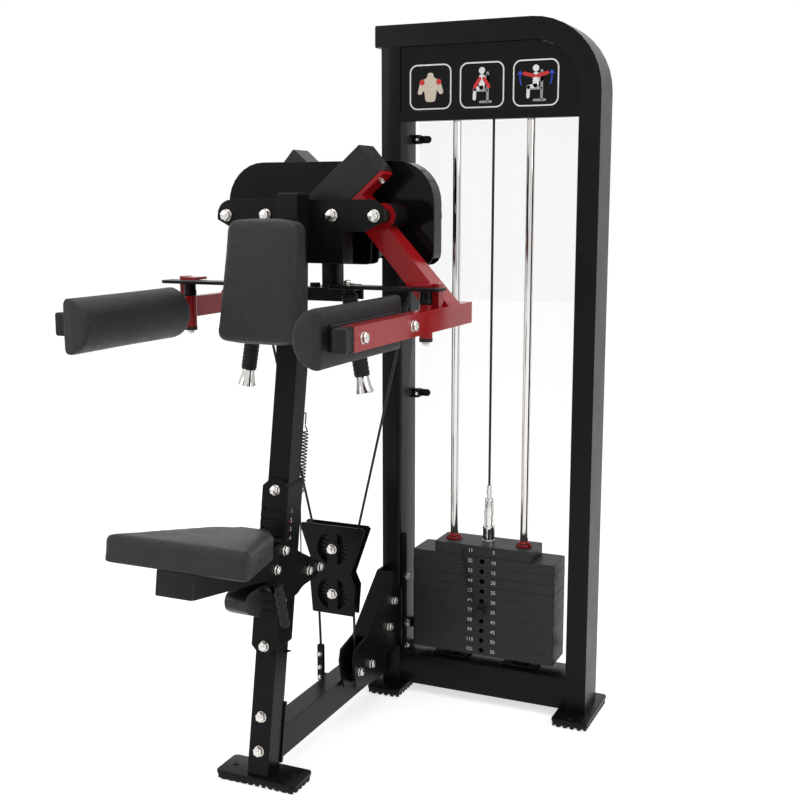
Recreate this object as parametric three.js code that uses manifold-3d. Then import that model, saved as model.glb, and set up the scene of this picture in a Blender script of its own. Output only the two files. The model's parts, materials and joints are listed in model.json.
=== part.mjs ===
// A lateral raise machine: a weight stack tower, a leaning seat column, two swinging arms.
// Millimetres. x runs to the tower's side, y to the back and z up; the middle of the station
// is x = 0, the front of the tower is y = 0 and the floor is z = 0.
import * as THREE from "three";
import { mergeVertices } from "three/addons/utils/BufferGeometryUtils.js";
import Module from "manifold-3d";

const wasm = await Module();
wasm.setup();

// Clearances
const gap = 0.3; // between pieces that touch
const overrun = 2; // how far a cut runs past a face
const weld = 1; // how deep a welded piece sits in its neighbour
const running = 0.6; // round a shaft that turns in its hole

// Frame tubes
const tubeWidth = 50;
const tubeDepth = 100;
const tubeWall = 3;
const tubeCorner = 5;
const plateThickness = 8;
const sheetThickness = 3;

// Tower
const frameHeight = 1642;
const postSpacing = 484.5; // from the middle of one post to the other
const bendRadius = 165; // outside of the bend at the top
const beamOverhang = 14; // of the top beam past the left post
const placardTop = frameHeight - tubeWidth - gap;
const placardHeight = 149.7; // from its top down to its lower bar
const placardLip = 22;
const placardStep = placardTop - placardHeight;
const placardBottom = placardStep - placardLip;
const placardRecess = 6;
const placardDepth = 27;
const crossBottom = 22;
const crossTop = 102;

// Feet
const footHeight = 20;
const footRubber = 12;
const footWidth = 88;
const footFront = 54; // past the post's front
const footBack = 40; // past the post's back
const footCorner = 10;
const footHole = 12;
const footHoleInset = 14;
const footInset = 2; // of the rubber inside the plate
const frontFootWidth = 195;
const frontFootFront = 597;
const frontFootBack = 514;
const frontFootHole = 71;

// The height that the arms turn at
const pivotHeight = 1204;

// Column: its front face passes through these heights and depths
const columnRise = 45; // above the pivots
const columnTop = pivotHeight + columnRise;
const columnTopFront = 417;
const columnBend = 880;
const columnBendFront = 430;
const columnFootFront = 583;

// Base beam
const beamBottom = 37;
const beamTop = 105;
const beamEnd = 40;
const flangeBottom = 30;
const flangeTop = 160;
const flangeHalfWidth = 38;

// Seat rail
const railTop = 644;
const railBottom = 274;
const railSide = 6.2;
const railFront = 9.7;
const railChamfer = 18;
const slotHeight = 7;
const slotPitch = 19;
const slotDepth = 4;
const slotInset = 6;
const slotClear = 62; // from the rail's ends to its first slot
const slotCount = 12;
const rackGap = 3;
const rackDepth = 14;
const rackHalfWidth = 12;
const rackTooth = 5;

// Guide rods, stack
const rodRadius = 10;
const rodSpacing = 182.5;
const rodDepth = 51;
const stackHalfWidth = 183;
const stackHalfDepth = 48;
const stackBottom = 126;
const platePitch = 25.2;
const plateCount = 10;
const plateCorner = 4;
const plateHole = 11.5;
const selectorHole = 6;
const stemRadius = 11;
const stemHole = 13;
const spineRadius = 9;
const headHalfWidth = 125;
const headHalfDepth = 46;
const headHeight = 26;
const bushRadius = 18;
const bushHeight = 8;
const collarRadius = 15;
const collarTop = 445;
const stemTop = 514;
const neckRadius = 5.5;
const neckTop = 547;
const bumperHalfWidth = 44;
const bumperHolder = 6;
const bumperRadius = 22;
const pinPlate = 6; // counted from the top, the plate that the selector pin is in
const pinRadius = 5;
const pinLength = 58;
const pinKnobRadius = 11;
const pinKnobLength = 26;
const lanyardWire = 1.2;
const lanyardRadius = 5;
const lanyardCurls = 12;
const lanyardDrop = 130;

// Guard sheet
const guardFront = 108;
const guardInset = 3;
const guardOverlap = 4; // of the sheet over the placard
const guardTop = placardBottom + guardOverlap;
const guardBottom = 132;
const clipDrop = 37; // of the highest clip below the placard
const clipMiddle = 757;
const clipLow = 150;
const clipHeights = [placardBottom - clipDrop, clipMiddle, clipLow];
const clipReach = 66;
const clipHeight = 22;
const clipDepth = 50; // where the clip starts, from the tower's front
const bossRadius = 56;
const bossLength = 30;
const bossHeight = 990;

// Arm mechanism: everything is mirrored about the housing's middle plane
const middlePlane = -208;
const pivotSpacing = 179.5;
const bracketRise = 34; // above the pivots
const bracketTop = pivotHeight + bracketRise;
const bracketDrop = 33; // below them
const bracketLow = pivotHeight - bracketDrop;
const earRadius = 24;
const shaftRadius = 10;
const blockHalfWidth = 106;
const blockHeight = 67;
const blockTop = bracketLow - weld;
const blockBottom = blockTop - blockHeight;
const blockDepth = 40;
const spacerRadius = 12;
const spacerInner = 42;
const spacerOuter = 92;
const spacerInset = 17.5; // from the block's top and bottom
const spacerLow = blockBottom + spacerInset;
const spacerHigh = blockTop - spacerInset;

// Housing
const housingHalf = 22; // half its depth
const housingWall = 3;
const housingHalfWidth = 258;
const housingRise = 118; // above the pivots
const housingTop = pivotHeight + housingRise;
const housingDrop = 109; // below them
const housingBottom = pivotHeight - housingDrop;
const housingCorner = 92;
const legCorner = 28;
const lobeHalfWidth = 107;
const archWidth = 50;
const archDrop = 44; // of the arch's crown below the pivots
const archTop = pivotHeight - archDrop;
const hubHole = 24;
const archCorner = 12;

// Hanger and stop bracket
const hangerHalf = 20;
const hangerDepth = 39;
const hangerLength = 53;
const hangerBottom = housingBottom - hangerLength;
const stopHalfWidth = 58;
const stopDepth = 84;
const stopHeight = 30;

// Arms
const armLean = 41; // degrees from the vertical
const armTube = 46;
const armTubeDepth = 67;
const armTubeStart = 42; // from the middle plane
const armTubeOffset = 33.5; // of the tube's middle from the pivot
const armDrop = 210; // from the pivots down to the bars' middle
const weightLength = 165;
const weightWidth = 75;
const weightEnd = 55.2; // past the pivot, along the weight
const weightFace = 76.5; // from the pivot to the weight's lower face
const weightCorner = 3;
const armFlange = 9;
const armFlangeLength = 126;
const armHub = 27;
const armNeck = 19;
const barOutset = 5.32; // from where the tube's middle line meets the height of the bar's top
const barWidth = 28;
const barHeight = 46;
const barFront = 772;
const barBack = 186;
const barBackLeft = 88;
const barCap = 33;
const sleeveRadius = 14;
const sleeveInset = 12; // of its middle from the bar's inner side
const sleeveY = 352;
const sleeveRise = 5; // above the bar
const sleeveDrop = 23; // below it
const uprightWidth = 14;
const uprightDepth = 28;
const uprightHeight = 49;
const uprightInset = 2; // from the bar's inner side
const padBoltFront = 738;
const padBoltBack = 514;
const padBossRadius = 12;

// Handles
const handleRise = 35; // of the plate above the bar
const handlePlateThickness = 7;
const handlePlateFront = 400;
const handlePlateReach = 35; // past the bar's inner side
const handleLugRadius = 13.2;
const handlePinRadius = 8;
const handleInner = 108;
const handleTabDepth = 42;
const handleTabHalf = 24;
const handleEndX = 148;
const handleDrop = 226; // of the grip's end below the plate
const handleStem = 12;
const gripRadius = 17;
const gripLower = 18; // where the rubber starts below the plate
const gripLift = 36; // and where it ends above the grip's end
const flareRadius = 21;
const handleY = 350;

// Cams
const camRadius = 51;
const camLobe = 92;
const camHalf = 7;
const camPeakAngle = 222; // degrees
const camRiseAngle = 40; // degrees on both sides of the peak
const camWindow = 16;

// Sheaves, cables
const cableRadius = 3;
const sheaveRadius = 47; // of the cable's middle
const sheaveRim = 52;
const sheaveHalf = 8;
const sheaveHub = 14;
const sheaveBore = 6.4;
const sheaveWeb = 3;
const sheaveSpokes = 5;
const sheaveWindow = 20;
const axleRadius = 6;
const blockUpper = 425;
const blockLower = 315;
const floatPlate = 4;
const floatHalf = 13; // from the middle plane to a plate's inner face
const floatTop = 482;
const floatTopHalf = 86;
const floatWaistZ = 366;
const floatWaistHalf = 47;
const floatHipZ = 338;
const floatHipHalf = 60;
const floatBottom = 265;
const floatBottomHalf = 54;
const floatWindow = 40;
const floatStrap = 26;
const basePulleyY = -162;
const basePulleyZ = 129;
const postPulleyRadius = 20; // of the cable's middle, inside the post
const postPulleyZ = 300;
const topPulleyRadius = 16;
const smallRim = 4; // of the small wheels, past the cable's middle
const stripWidth = 12;
const stripDepth = 20;
const stripHole = 4.4;
const stripHoleShares = [0.22, 0.42, 0.62, 0.82];
const stripTop = 210;
const stripBottom = 95;

// Gusset bracket
const slotShare = 0.37; // how far below the post's pulley the cable enters the post
const gussetSpacing = 30;
const gussetPlate = 5;
const gussetTop = 325;
const gussetTopDepth = 40;
const gussetReach = 183;
const gussetReachZ = 205;
const gussetHeelZ = 172;
const pulleyArm = 257;
const pulleyArmTop = 199;
const pulleyArmLow = 73;
const pulleyArmBack = 77;

// Pads
const chestTopHalf = 75;
const chestBottomHalf = 93;
const chestDrop = 7; // of its top below the pivots
const chestHeight = 244;
const chestTop = pivotHeight - chestDrop;
const chestBottom = chestTop - chestHeight;
const mountHalf = 60; // half the height of the pad's mount on the column
const mountWeb = 9; // left above and below the mount's opening
const chestTopFront = 521;
const chestBottomFront = 549;
const chestThickness = 36;
const chestCorner = 26;
const forearmInset = 22; // of the pad's flat side from the bar's inner side
const forearmRadius = 57;
const forearmMiddleShare = 0.42; // of the radius, from the flat side to the crown's middle
const forearmFront = 805;
const forearmBack = 453;
const boardThickness = 10;
const seatFront = 865;
const seatBack = 568;
const seatFrontHalf = 160;
const seatBackHalf = 72;
const seatFrontTop = 602;
const seatBackTop = 556;
const seatThickness = 46;
const seatCorner = 22;
const seatNotchWidth = 30;
const seatNotchDepth = 44;
const padRound = 12;
const padCrown = 6;
const padWaist = 2.5;

// Seat carriage
const sidePlate = 8;
const carriageFront = 592;
const carriageBack = 352;
const carriageLow = 393;
const carriageTop = 525;
const supportHalf = 41;
const supportHeight = 50;
const supportFront = 850;
const leverPlate = 4;
const leverReach = 104;
const leverDrop = 60;
const leverGripLength = 104;
const leverGripRadius = 11;
const springRadius = 8;
const springWire = 1.5;
const springTop = 746;
const springLow = 619;
const springHook = 785;
const springCurls = 18;
const springX = 22;
const springOffset = 13;

// Looks
const black = { color: 0x1d1d1e, roughness: 0.35, metalness: 0.3 };
const gloss = { color: 0x141415, roughness: 0.2, metalness: 0.3 };
const red = { color: 0x7a1518, roughness: 0.25, metalness: 0.3 };
const vinyl = { color: 0x2a2a2b, roughness: 0.7, metalness: 0 };
const rubber = { color: 0x1b1b1b, roughness: 0.9, metalness: 0 };
const chrome = { color: 0xc8c8c8, roughness: 0.15, metalness: 1 };
const steel = { color: 0x303234, roughness: 0.5, metalness: 0.6 };
const clear = { color: 0xf2f5f6, roughness: 0.1, metalness: 0 };
const nylon = { color: 0x232324, roughness: 0.6, metalness: 0 };

const station = new THREE.Group();
const leftSide = new THREE.Group();
leftSide.scale.x = -1;
station.add(leftSide);

// A closed geometry as a solid that can be joined and cut.
function solid(geometry) {
  const plain = geometry.clone();
  plain.deleteAttribute("normal");
  plain.deleteAttribute("uv");
  const merged = mergeVertices(plain, 1e-4);
  return new wasm.Manifold(
    new wasm.Mesh({
      numProp: 3,
      vertProperties: merged.attributes.position.array,
      triVerts: new Uint32Array(merged.index.array),
    }),
  );
}

function geometryOf(made) {
  const mesh = made.getMesh();
  const geometry = new THREE.BufferGeometry();
  const positions = new THREE.BufferAttribute(new Float32Array(mesh.vertProperties), 3);
  geometry.setAttribute("position", positions);
  geometry.setIndex(new THREE.BufferAttribute(new Uint32Array(mesh.triVerts), 1));
  return geometry;
}

function put(name, look, made, parent = station) {
  const mesh = new THREE.Mesh(geometryOf(made), new THREE.MeshStandardMaterial(look));
  mesh.name = name;
  parent.add(mesh);
  return mesh;
}

const join = (first, ...others) => others.reduce((sum, one) => sum.add(one), first);
const cut = (first, ...others) => others.reduce((rest, one) => rest.subtract(one), first);
const radians = (degrees) => (degrees * Math.PI) / 180;

function outline(points) {
  return new THREE.Shape(points.map(([u, v]) => new THREE.Vector2(u, v)));
}

// Extrusions of an outline along each axis. An outline along x holds (y, z) points,
// along y it holds (x, z) points and along z it holds (x, y) points.
function extruded(points, length) {
  return new THREE.ExtrudeGeometry(outline(points), { depth: length, bevelEnabled: false });
}

function alongX(points, x0, x1) {
  const turn = new THREE.Matrix4().makeBasis(
    new THREE.Vector3(0, 1, 0),
    new THREE.Vector3(0, 0, 1),
    new THREE.Vector3(1, 0, 0),
  );
  return solid(extruded(points, x1 - x0).applyMatrix4(turn).translate(x0, 0, 0));
}

function alongY(points, y0, y1) {
  const turn = new THREE.Matrix4().makeBasis(
    new THREE.Vector3(1, 0, 0),
    new THREE.Vector3(0, 0, 1),
    new THREE.Vector3(0, -1, 0),
  );
  return solid(extruded(points, y1 - y0).applyMatrix4(turn).translate(0, y1, 0));
}

function alongZ(points, z0, z1) {
  return solid(extruded(points, z1 - z0).translate(0, 0, z0));
}

function box(x0, x1, y0, y1, z0, z1) {
  const geometry = new THREE.BoxGeometry(x1 - x0, y1 - y0, z1 - z0);
  return solid(geometry.translate((x0 + x1) / 2, (y0 + y1) / 2, (z0 + z1) / 2));
}

function arc(u, v, radius, from, to, steps) {
  return Array.from({ length: steps + 1 }, (_, i) => {
    const angle = radians(from + ((to - from) * i) / steps);
    return [u + radius * Math.cos(angle), v + radius * Math.sin(angle)];
  });
}

const circle = (u, v, radius, sides = 14) => arc(u, v, radius, 0, 360, sides).slice(0, sides);
// A hole's sides lie outside its radius, so that a round shaft clears them
const bore = (u, v, radius, sides) => circle(u, v, radius / Math.cos(Math.PI / sides), sides);

function rounded(u0, u1, v0, v1, radius, steps = 2) {
  return [
    ...arc(u1 - radius, v1 - radius, radius, 0, 90, steps),
    ...arc(u0 + radius, v1 - radius, radius, 90, 180, steps),
    ...arc(u0 + radius, v0 + radius, radius, 180, 270, steps),
    ...arc(u1 - radius, v0 + radius, radius, 270, 360, steps),
  ];
}

// A path widened to both sides, with mitred corners.
function strip(path, width) {
  const side = (sign) =>
    path.map(([u, v], i) => {
      const before = path[Math.max(i - 1, 0)];
      const after = path[Math.min(i + 1, path.length - 1)];
      const into = new THREE.Vector2(u - before[0], v - before[1]).normalize();
      const out = new THREE.Vector2(after[0] - u, after[1] - v).normalize();
      const way = into.clone().add(out).normalize();
      const along = into.length() ? into : out;
      const reach = (sign * width) / 2 / Math.max(way.dot(along), 0.2);
      return [u - way.y * reach, v + way.x * reach];
    });
  return [...side(1), ...side(-1).reverse()];
}

// A tube of round section through a list of points, closed at both ends.
function wire(points, radius, sides) {
  const positions = [];
  const faces = [];
  const normal = new THREE.Vector3();
  points.forEach((point, i) => {
    const before = points[Math.max(i - 1, 0)];
    const after = points[Math.min(i + 1, points.length - 1)];
    const way = after.clone().sub(before).normalize();
    if (i === 0) {
      const helper = Math.abs(way.x) < 0.9 ? new THREE.Vector3(1, 0, 0) : new THREE.Vector3(0, 1, 0);
      normal.crossVectors(way, helper).normalize();
    }
    normal.addScaledVector(way, -normal.dot(way)).normalize();
    const side = new THREE.Vector3().crossVectors(way, normal);
    for (let k = 0; k < sides; k += 1) {
      const angle = (2 * Math.PI * k) / sides;
      const spot = point
        .clone()
        .addScaledVector(normal, radius * Math.cos(angle))
        .addScaledVector(side, radius * Math.sin(angle));
      positions.push(spot.x, spot.y, spot.z);
    }
  });
  const last = points.length - 1;
  for (let i = 0; i < last; i += 1) {
    for (let k = 0; k < sides; k += 1) {
      const a = i * sides + k;
      const b = i * sides + ((k + 1) % sides);
      faces.push(a, b, a + sides, b, b + sides, a + sides);
    }
  }
  for (let k = 1; k < sides - 1; k += 1) {
    faces.push(0, k + 1, k);
    faces.push(last * sides, last * sides + k, last * sides + k + 1);
  }
  const geometry = new THREE.BufferGeometry();
  geometry.setAttribute("position", new THREE.Float32BufferAttribute(positions, 3));
  geometry.setIndex(faces);
  const made = solid(geometry);
  return made;
}

// The least distance between two passes of a wound wire, less its thickness.
function leastGap(points, radius, apart) {
  let least = Infinity;
  points.forEach((one, i) => {
    for (let k = i + apart; k < points.length; k += 1) {
      least = Math.min(least, one.distanceTo(points[k]));
    }
  });
  return least - 2 * radius;
}

// A stuffed cushion on an outline: drawn in round its sides, with a crown on top.
// The outline lies in the plane z = 0 round the origin and the cushion rises along z.
function cushion(points, thickness, crown) {
  const count = points.length;
  const shrink = (inset) =>
    points.map(([u, v]) => {
      const share = 1 - inset / Math.hypot(u, v);
      return [u * share, v * share];
    });
  const halfU = Math.max(...points.map(([u]) => Math.abs(u)));
  const halfV = Math.max(...points.map(([, v]) => Math.abs(v)));
  const lift = ([u, v]) => crown * (1 - (u / halfU) ** 2) * (1 - (v / halfV) ** 2);
  const rings = [];
  const ring = (inset, z) => rings.push(shrink(inset).map(([u, v]) => [u, v, z]));
  const round = Math.min(padRound, thickness / 3);
  ring(round / 2, 0);
  ring(0, round / 2);
  ring(padWaist, thickness / 2);
  ring(0, thickness - round);
  ring(round / 4, thickness - round / 3);
  const topShares = [1, 0.75, 0.4];
  topShares.forEach((share) => {
    const flat = shrink(round).map(([u, v]) => [u * share, v * share]);
    rings.push(flat.map((spot) => [...spot, thickness + lift(spot)]));
  });
  const positions = rings.flat(2);
  const faces = [];
  for (let i = 0; i < rings.length - 1; i += 1) {
    for (let k = 0; k < count; k += 1) {
      const a = i * count + k;
      const b = i * count + ((k + 1) % count);
      faces.push(a, b, a + count, b, b + count, a + count);
    }
  }
  const bottom = positions.length / 3;
  positions.push(0, 0, 0, 0, 0, thickness + crown);
  const top = (rings.length - 1) * count;
  for (let k = 0; k < count; k += 1) {
    const next = (k + 1) % count;
    faces.push(bottom, next, k);
    faces.push(bottom + 1, top + k, top + next);
  }
  const geometry = new THREE.BufferGeometry();
  geometry.setAttribute("position", new THREE.Float32BufferAttribute(positions, 3));
  geometry.setIndex(faces);
  return geometry;
}

// Sizes that follow from the driving ones
const halfTube = tubeWidth / 2;
const postLeft = halfTube + gap;
const postRight = postLeft + tubeWidth;
const postMiddle = postLeft + halfTube;
const farPostLeft = postLeft + postSpacing;
const farPostRight = farPostLeft + tubeWidth;
const stackX = (postRight + farPostLeft) / 2;
const beamUnder = frameHeight - tubeWidth;
const forearmMiddle = pivotHeight - armDrop;
const barBottom = forearmMiddle - barHeight / 2;
const barTop = forearmMiddle + barHeight / 2;
const sleeveTop = barTop + sleeveRise;
const sleeveBottom = barBottom - sleeveDrop;
const uprightTop = barTop + uprightHeight;
const handlePlateBottom = barTop + handleRise;
const handleEndZ = handlePlateBottom - handleDrop;
const gripStart = handlePlateBottom - gripLower;
const gripEnd = handleEndZ + gripLift;

// In the plane of an arm a runs square to the tube, up and out, and b along it, down
const armAngle = radians(armLean);
const inArm = (a, b) => [
  pivotSpacing + a * Math.cos(armAngle) + b * Math.sin(armAngle),
  pivotHeight + a * Math.sin(armAngle) - b * Math.cos(armAngle),
];
const tubeRun = (pivotHeight - armTubeOffset * Math.sin(armAngle) - barTop) / Math.cos(armAngle);
const barInner = inArm(-armTubeOffset, tubeRun)[0] + barOutset;
const sleeveX = barInner - sleeveInset;
const uprightX = barInner + uprightInset;
const handlePlateOuter = barInner + handlePlateReach;
const forearmFlat = barInner - forearmInset;

// Tower: posts, the bent top tube, the cross beam
function hollow(points, inner, along, from, to, open = overrun) {
  return cut(along(points, from, to), along(inner, from - open, to + open));
}

function clips(wallX, side) {
  return clipHeights.map((z) => {
    const x0 = side > 0 ? wallX - weld : wallX - clipReach;
    const x1 = side > 0 ? wallX + clipReach : wallX + weld;
    const stem = box(
      side > 0 ? wallX - weld : wallX - plateThickness,
      side > 0 ? wallX + plateThickness : wallX + weld,
      clipDepth,
      guardFront - gap,
      z - clipHeight / 2,
      z + clipHeight / 2,
    );
    const tongue = box(
      x0,
      x1,
      guardFront - gap - sheetThickness,
      guardFront - gap,
      z - clipHeight / 2,
      z + clipHeight / 2,
    );
    return stem.add(tongue);
  });
}

const postOutline = rounded(postLeft, postRight, 0, tubeDepth, tubeCorner);
const postInside = rounded(
  postLeft + tubeWall,
  postRight - tubeWall,
  tubeWall,
  tubeDepth - tubeWall,
  tubeCorner - tubeWall,
);
const postPulleyY = rodDepth - postPulleyRadius;
const slotZ = postPulleyZ - (postPulleyZ - basePulleyZ) * slotShare;
const cableSlot = box(
  postMiddle - stripWidth,
  postMiddle + stripWidth,
  -overrun,
  tubeWall + overrun,
  slotZ - tubeWidth / 2,
  slotZ + tubeWidth / 2,
);
const insidePin = (x0, x1, y, z) => alongX(circle(y, z, axleRadius, 8), x0, x1);
put(
  "left_post",
  black,
  cut(
    join(
      hollow(postOutline, postInside, alongZ, footHeight + gap, beamUnder - gap),
      ...clips(postRight, 1),
      alongX(
        circle(tubeDepth / 2, bossHeight, bossRadius, 20),
        postRight - weld,
        postRight + bossLength,
      ),
      insidePin(postLeft + weld, postRight - weld, postPulleyY, postPulleyZ),
    ),
    cableSlot,
  ),
);

const topPath = (radius, end) => [
  [postLeft - beamOverhang, frameHeight - halfTube],
  ...arc(
    farPostRight - bendRadius,
    frameHeight - bendRadius,
    radius,
    90,
    0,
    10,
  ),
  [farPostLeft + halfTube, end],
];
const topOutline = strip(topPath(bendRadius - halfTube, footHeight + gap), tubeWidth);
const topInside = strip(
  [
    [postLeft - beamOverhang - overrun, frameHeight - halfTube],
    ...topPath(bendRadius - halfTube, footHeight - overrun).slice(1),
  ],
  tubeWidth - 2 * tubeWall,
);
const topPulleyZ = frameHeight - halfTube;
const topPin = (x) => alongY(circle(x, topPulleyZ, axleRadius, 8), weld, tubeDepth - weld);
const cableHole = (x, y) => {
  const reach = cableRadius + overrun;
  return alongZ(circle(x, y, reach, 8), beamUnder - overrun, beamUnder + tubeWall + overrun);
};
put(
  "top_tube",
  black,
  cut(
    join(
      cut(
        alongY(topOutline, 0, tubeDepth),
        alongY(topInside, tubeWall, tubeDepth - tubeWall),
      ),
      ...clips(farPostLeft, -1),
      topPin(postMiddle + topPulleyRadius),
      topPin(stackX - topPulleyRadius),
    ),
    cableHole(postMiddle, rodDepth),
    cableHole(stackX, rodDepth),
  ),
);

const placardOutline = [
  [0, placardBottom],
  [0, placardStep],
  [placardRecess, placardStep],
  [placardRecess, placardTop],
  [placardDepth, placardTop],
  [placardDepth, placardTop - sheetThickness],
  [placardRecess + sheetThickness, placardTop - sheetThickness],
  [placardRecess + sheetThickness, placardStep - sheetThickness],
  [sheetThickness, placardStep - sheetThickness],
  [sheetThickness, placardBottom + sheetThickness],
  [placardDepth, placardBottom + sheetThickness],
  [placardDepth, placardBottom],
];
const bendGap = box(
  farPostRight - bendRadius,
  farPostRight,
  -overrun,
  tubeDepth,
  frameHeight - bendRadius,
  frameHeight,
).subtract(
  alongY(
    circle(farPostRight - bendRadius, frameHeight - bendRadius, bendRadius - tubeWidth - gap, 40),
    -2 * overrun,
    tubeDepth + overrun,
  ),
);
put(
  "placard",
  gloss,
  cut(alongX(placardOutline, postRight + gap, farPostLeft - gap), bendGap),
);

put(
  "cross_beam",
  black,
  hollow(
    rounded(0, tubeDepth, crossBottom, crossTop, tubeCorner),
    rounded(
      tubeWall,
      tubeDepth - tubeWall,
      crossBottom + tubeWall,
      crossTop - tubeWall,
      tubeCorner - tubeWall,
    ),
    alongX,
    postRight + gap,
    farPostLeft - gap,
  ),
);

// Feet: a plate on a rubber pad, with bolt holes where the plate is free
function foot(x0, x1, y0, y1, holes) {
  const rubberPad = alongZ(
    rounded(x0 + footInset, x1 - footInset, y0 + footInset, y1 - footInset, footCorner),
    0,
    footRubber + weld,
  );
  const steelPlate = alongZ(rounded(x0, x1, y0, y1, footCorner), footRubber, footHeight);
  const bores = holes.map(([x, y]) =>
    alongZ(circle(x, y, footHole / 2, 8), -overrun, footHeight + overrun),
  );
  return cut(rubberPad.add(steelPlate), ...bores);
}

const sideFoot = (middle) =>
  foot(middle - footWidth / 2, middle + footWidth / 2, -footFront, tubeDepth + footBack, [
    [middle, -footFront + footHoleInset],
    [middle, tubeDepth + footBack - footHoleInset],
  ]);
put("foot_left", rubber, sideFoot(postMiddle));
put("foot_right", rubber, sideFoot(farPostLeft + halfTube));
const frontFootMiddle = -(frontFootFront + frontFootBack) / 2;
put(
  "foot_front",
  rubber,
  foot(-frontFootWidth / 2, frontFootWidth / 2, -frontFootFront, -frontFootBack, [
    [-frontFootHole, frontFootMiddle],
    [frontFootHole, frontFootMiddle],
  ]),
);

// Column: nearly upright above its bend, leaning towards the user's feet below it
const columnBottom = footHeight + gap;
const lean = Math.atan2(columnFootFront - columnBendFront, columnBend - columnBottom);
const upperLean = Math.atan2(columnBendFront - columnTopFront, columnTop - columnBend);
const leanHalf = halfTube / Math.cos(lean);
const columnPath = [
  [-columnTopFront + halfTube, columnTop],
  [-columnBendFront + halfTube, columnBend],
  [-columnFootFront + leanHalf, columnBottom],
];
// The column's middle line at a height, and a point off it, square to the lean
const middleAt = (z) =>
  z > columnBend
    ? columnPath[1][0] + (z - columnBend) * Math.tan(upperLean)
    : columnPath[1][0] - (columnBend - z) * Math.tan(lean);
const offColumn = (z, off) => [middleAt(z) + off * Math.cos(lean), z - off * Math.sin(lean)];
const level = (points, z0, z1) =>
  points.intersect(box(-frameHeight, frameHeight, -frameHeight, frameHeight, z0, z1));
const longColumn = [
  columnPath[0],
  columnPath[1],
  [middleAt(0), 0],
];
const columnTube = cut(
  alongX(strip(longColumn, tubeWidth), -halfTube, halfTube),
  alongX(
    strip(
      [[middleAt(columnTop + overrun), columnTop + overrun], ...longColumn.slice(1)],
      tubeWidth - 2 * tubeWall,
    ),
    -halfTube + tubeWall,
    halfTube - tubeWall,
  ),
);

// The chest pad's plane leans too; its bracket is welded to the column's front
const chestLean = Math.atan2(chestBottomFront - chestTopFront, chestTop - chestBottom);
const chestMiddleZ = (chestTop + chestBottom) / 2;
const chestMiddleFront = -(chestTopFront + chestBottomFront) / 2;
const chestDepth = chestThickness + padCrown + boardThickness;
const chestBackAt = (z) =>
  chestMiddleFront + (chestDepth + gap) / Math.cos(chestLean) + (z - chestMiddleZ) * Math.tan(chestLean);
const mountTop = chestMiddleZ + mountHalf;
const mountBottom = chestMiddleZ - mountHalf;
const chestMount = alongX(
  [
    [chestBackAt(mountBottom), mountBottom],
    [middleAt(mountBottom) - halfTube + weld, mountBottom],
    [middleAt(mountTop) - halfTube + weld, mountTop],
    [chestBackAt(mountTop), mountTop],
  ],
  -halfTube,
  halfTube,
);
const mountHollow = box(
  -halfTube + tubeWall,
  halfTube - tubeWall,
  -chestTopFront - tubeDepth,
  -columnTopFront + halfTube,
  mountBottom + mountWeb,
  mountTop - mountWeb,
);
const mountPlates = cut(
  chestMount,
  mountHollow.intersect(
    alongX(
      [
        [chestBackAt(mountBottom) + tubeWall, mountBottom],
        [middleAt(mountBottom) - halfTube - tubeWall, mountBottom],
        [middleAt(mountTop) - halfTube - tubeWall, mountTop],
        [chestBackAt(mountTop) + tubeWall, mountTop],
      ],
      -halfTube,
      halfTube,
    ),
  ),
  box(
    -overrun,
    halfTube + overrun,
    -chestBottomFront,
    middleAt(chestMiddleZ) - halfTube - tubeWall,
    chestMiddleZ - tubeWidth / 2,
    chestMiddleZ + tubeWidth / 2,
  ),
);
put("column", black, level(join(columnTube, mountPlates), columnBottom, columnTop));

// Base beam from the flange behind the column to the side of the left post
const flangeFront = (z) => middleAt(z) + leanHalf + gap;
const slant = (z, off) => [flangeFront(z) + off, z];
const beamShell = cut(
  alongX(
    [slant(beamBottom, weld), slant(beamTop, weld), [beamEnd, beamTop], [beamEnd, beamBottom]],
    -halfTube,
    halfTube,
  ),
  alongX(
    [
      slant(beamBottom + tubeWall, plateThickness),
      slant(beamTop - tubeWall, plateThickness),
      [beamEnd + overrun, beamTop - tubeWall],
      [beamEnd + overrun, beamBottom + tubeWall],
    ],
    -halfTube + tubeWall,
    halfTube - tubeWall,
  ),
);
const flange = alongX(
  [
    slant(flangeBottom, 0),
    slant(flangeTop, 0),
    slant(flangeTop, plateThickness),
    slant(flangeBottom, plateThickness),
  ],
  -flangeHalfWidth,
  flangeHalfWidth,
);
put("base_beam", black, join(beamShell, flange));

// Seat rail: a channel on the column's front and sides, slotted for the height, and its rack
const railLine = (off, z0, z1) => [offColumn(z0, off), offColumn(z1, off)];
const railProfile = (near, far, z0, z1) => [
  ...railLine(near, z0, z1),
  ...railLine(far, z0, z1).reverse(),
];
const railHalf = halfTube + gap + railSide;
const railFace = -(halfTube + gap + railFront);
const railChannel = cut(
  alongX(railProfile(railFace, halfTube, railBottom, railTop), -railHalf, railHalf),
  alongX(
    railProfile(-halfTube - gap, halfTube + tubeWidth, railBottom - tubeWidth, railTop + tubeWidth),
    -halfTube - gap,
    halfTube + gap,
  ),
);
const slots = Array.from({ length: slotCount }, (_, i) => {
  const z = railTop - slotClear - i * slotPitch;
  return alongX(
    railProfile(railFace - overrun, railFace + slotDepth, z - slotHeight, z),
    -railHalf - overrun,
    railHalf - slotInset - railSide,
  );
});
const frontCorner = (side, z, way) => {
  const near = offColumn(z, railFace * 2);
  const far = offColumn(z, tubeWidth);
  const wedge = alongY(
    [
      [side * (railHalf + overrun), z + way * railChamfer],
      [side * (railHalf + overrun), z - way * overrun * 4],
      [side * (railHalf - railChamfer), z - way * overrun * 4],
      [side * (railHalf - railChamfer), z],
    ],
    near[0],
    far[0],
  );
  return wedge;
};
const rackPoints = [offColumn(railBottom, halfTube + gap), offColumn(railTop, halfTube + gap)];
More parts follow.
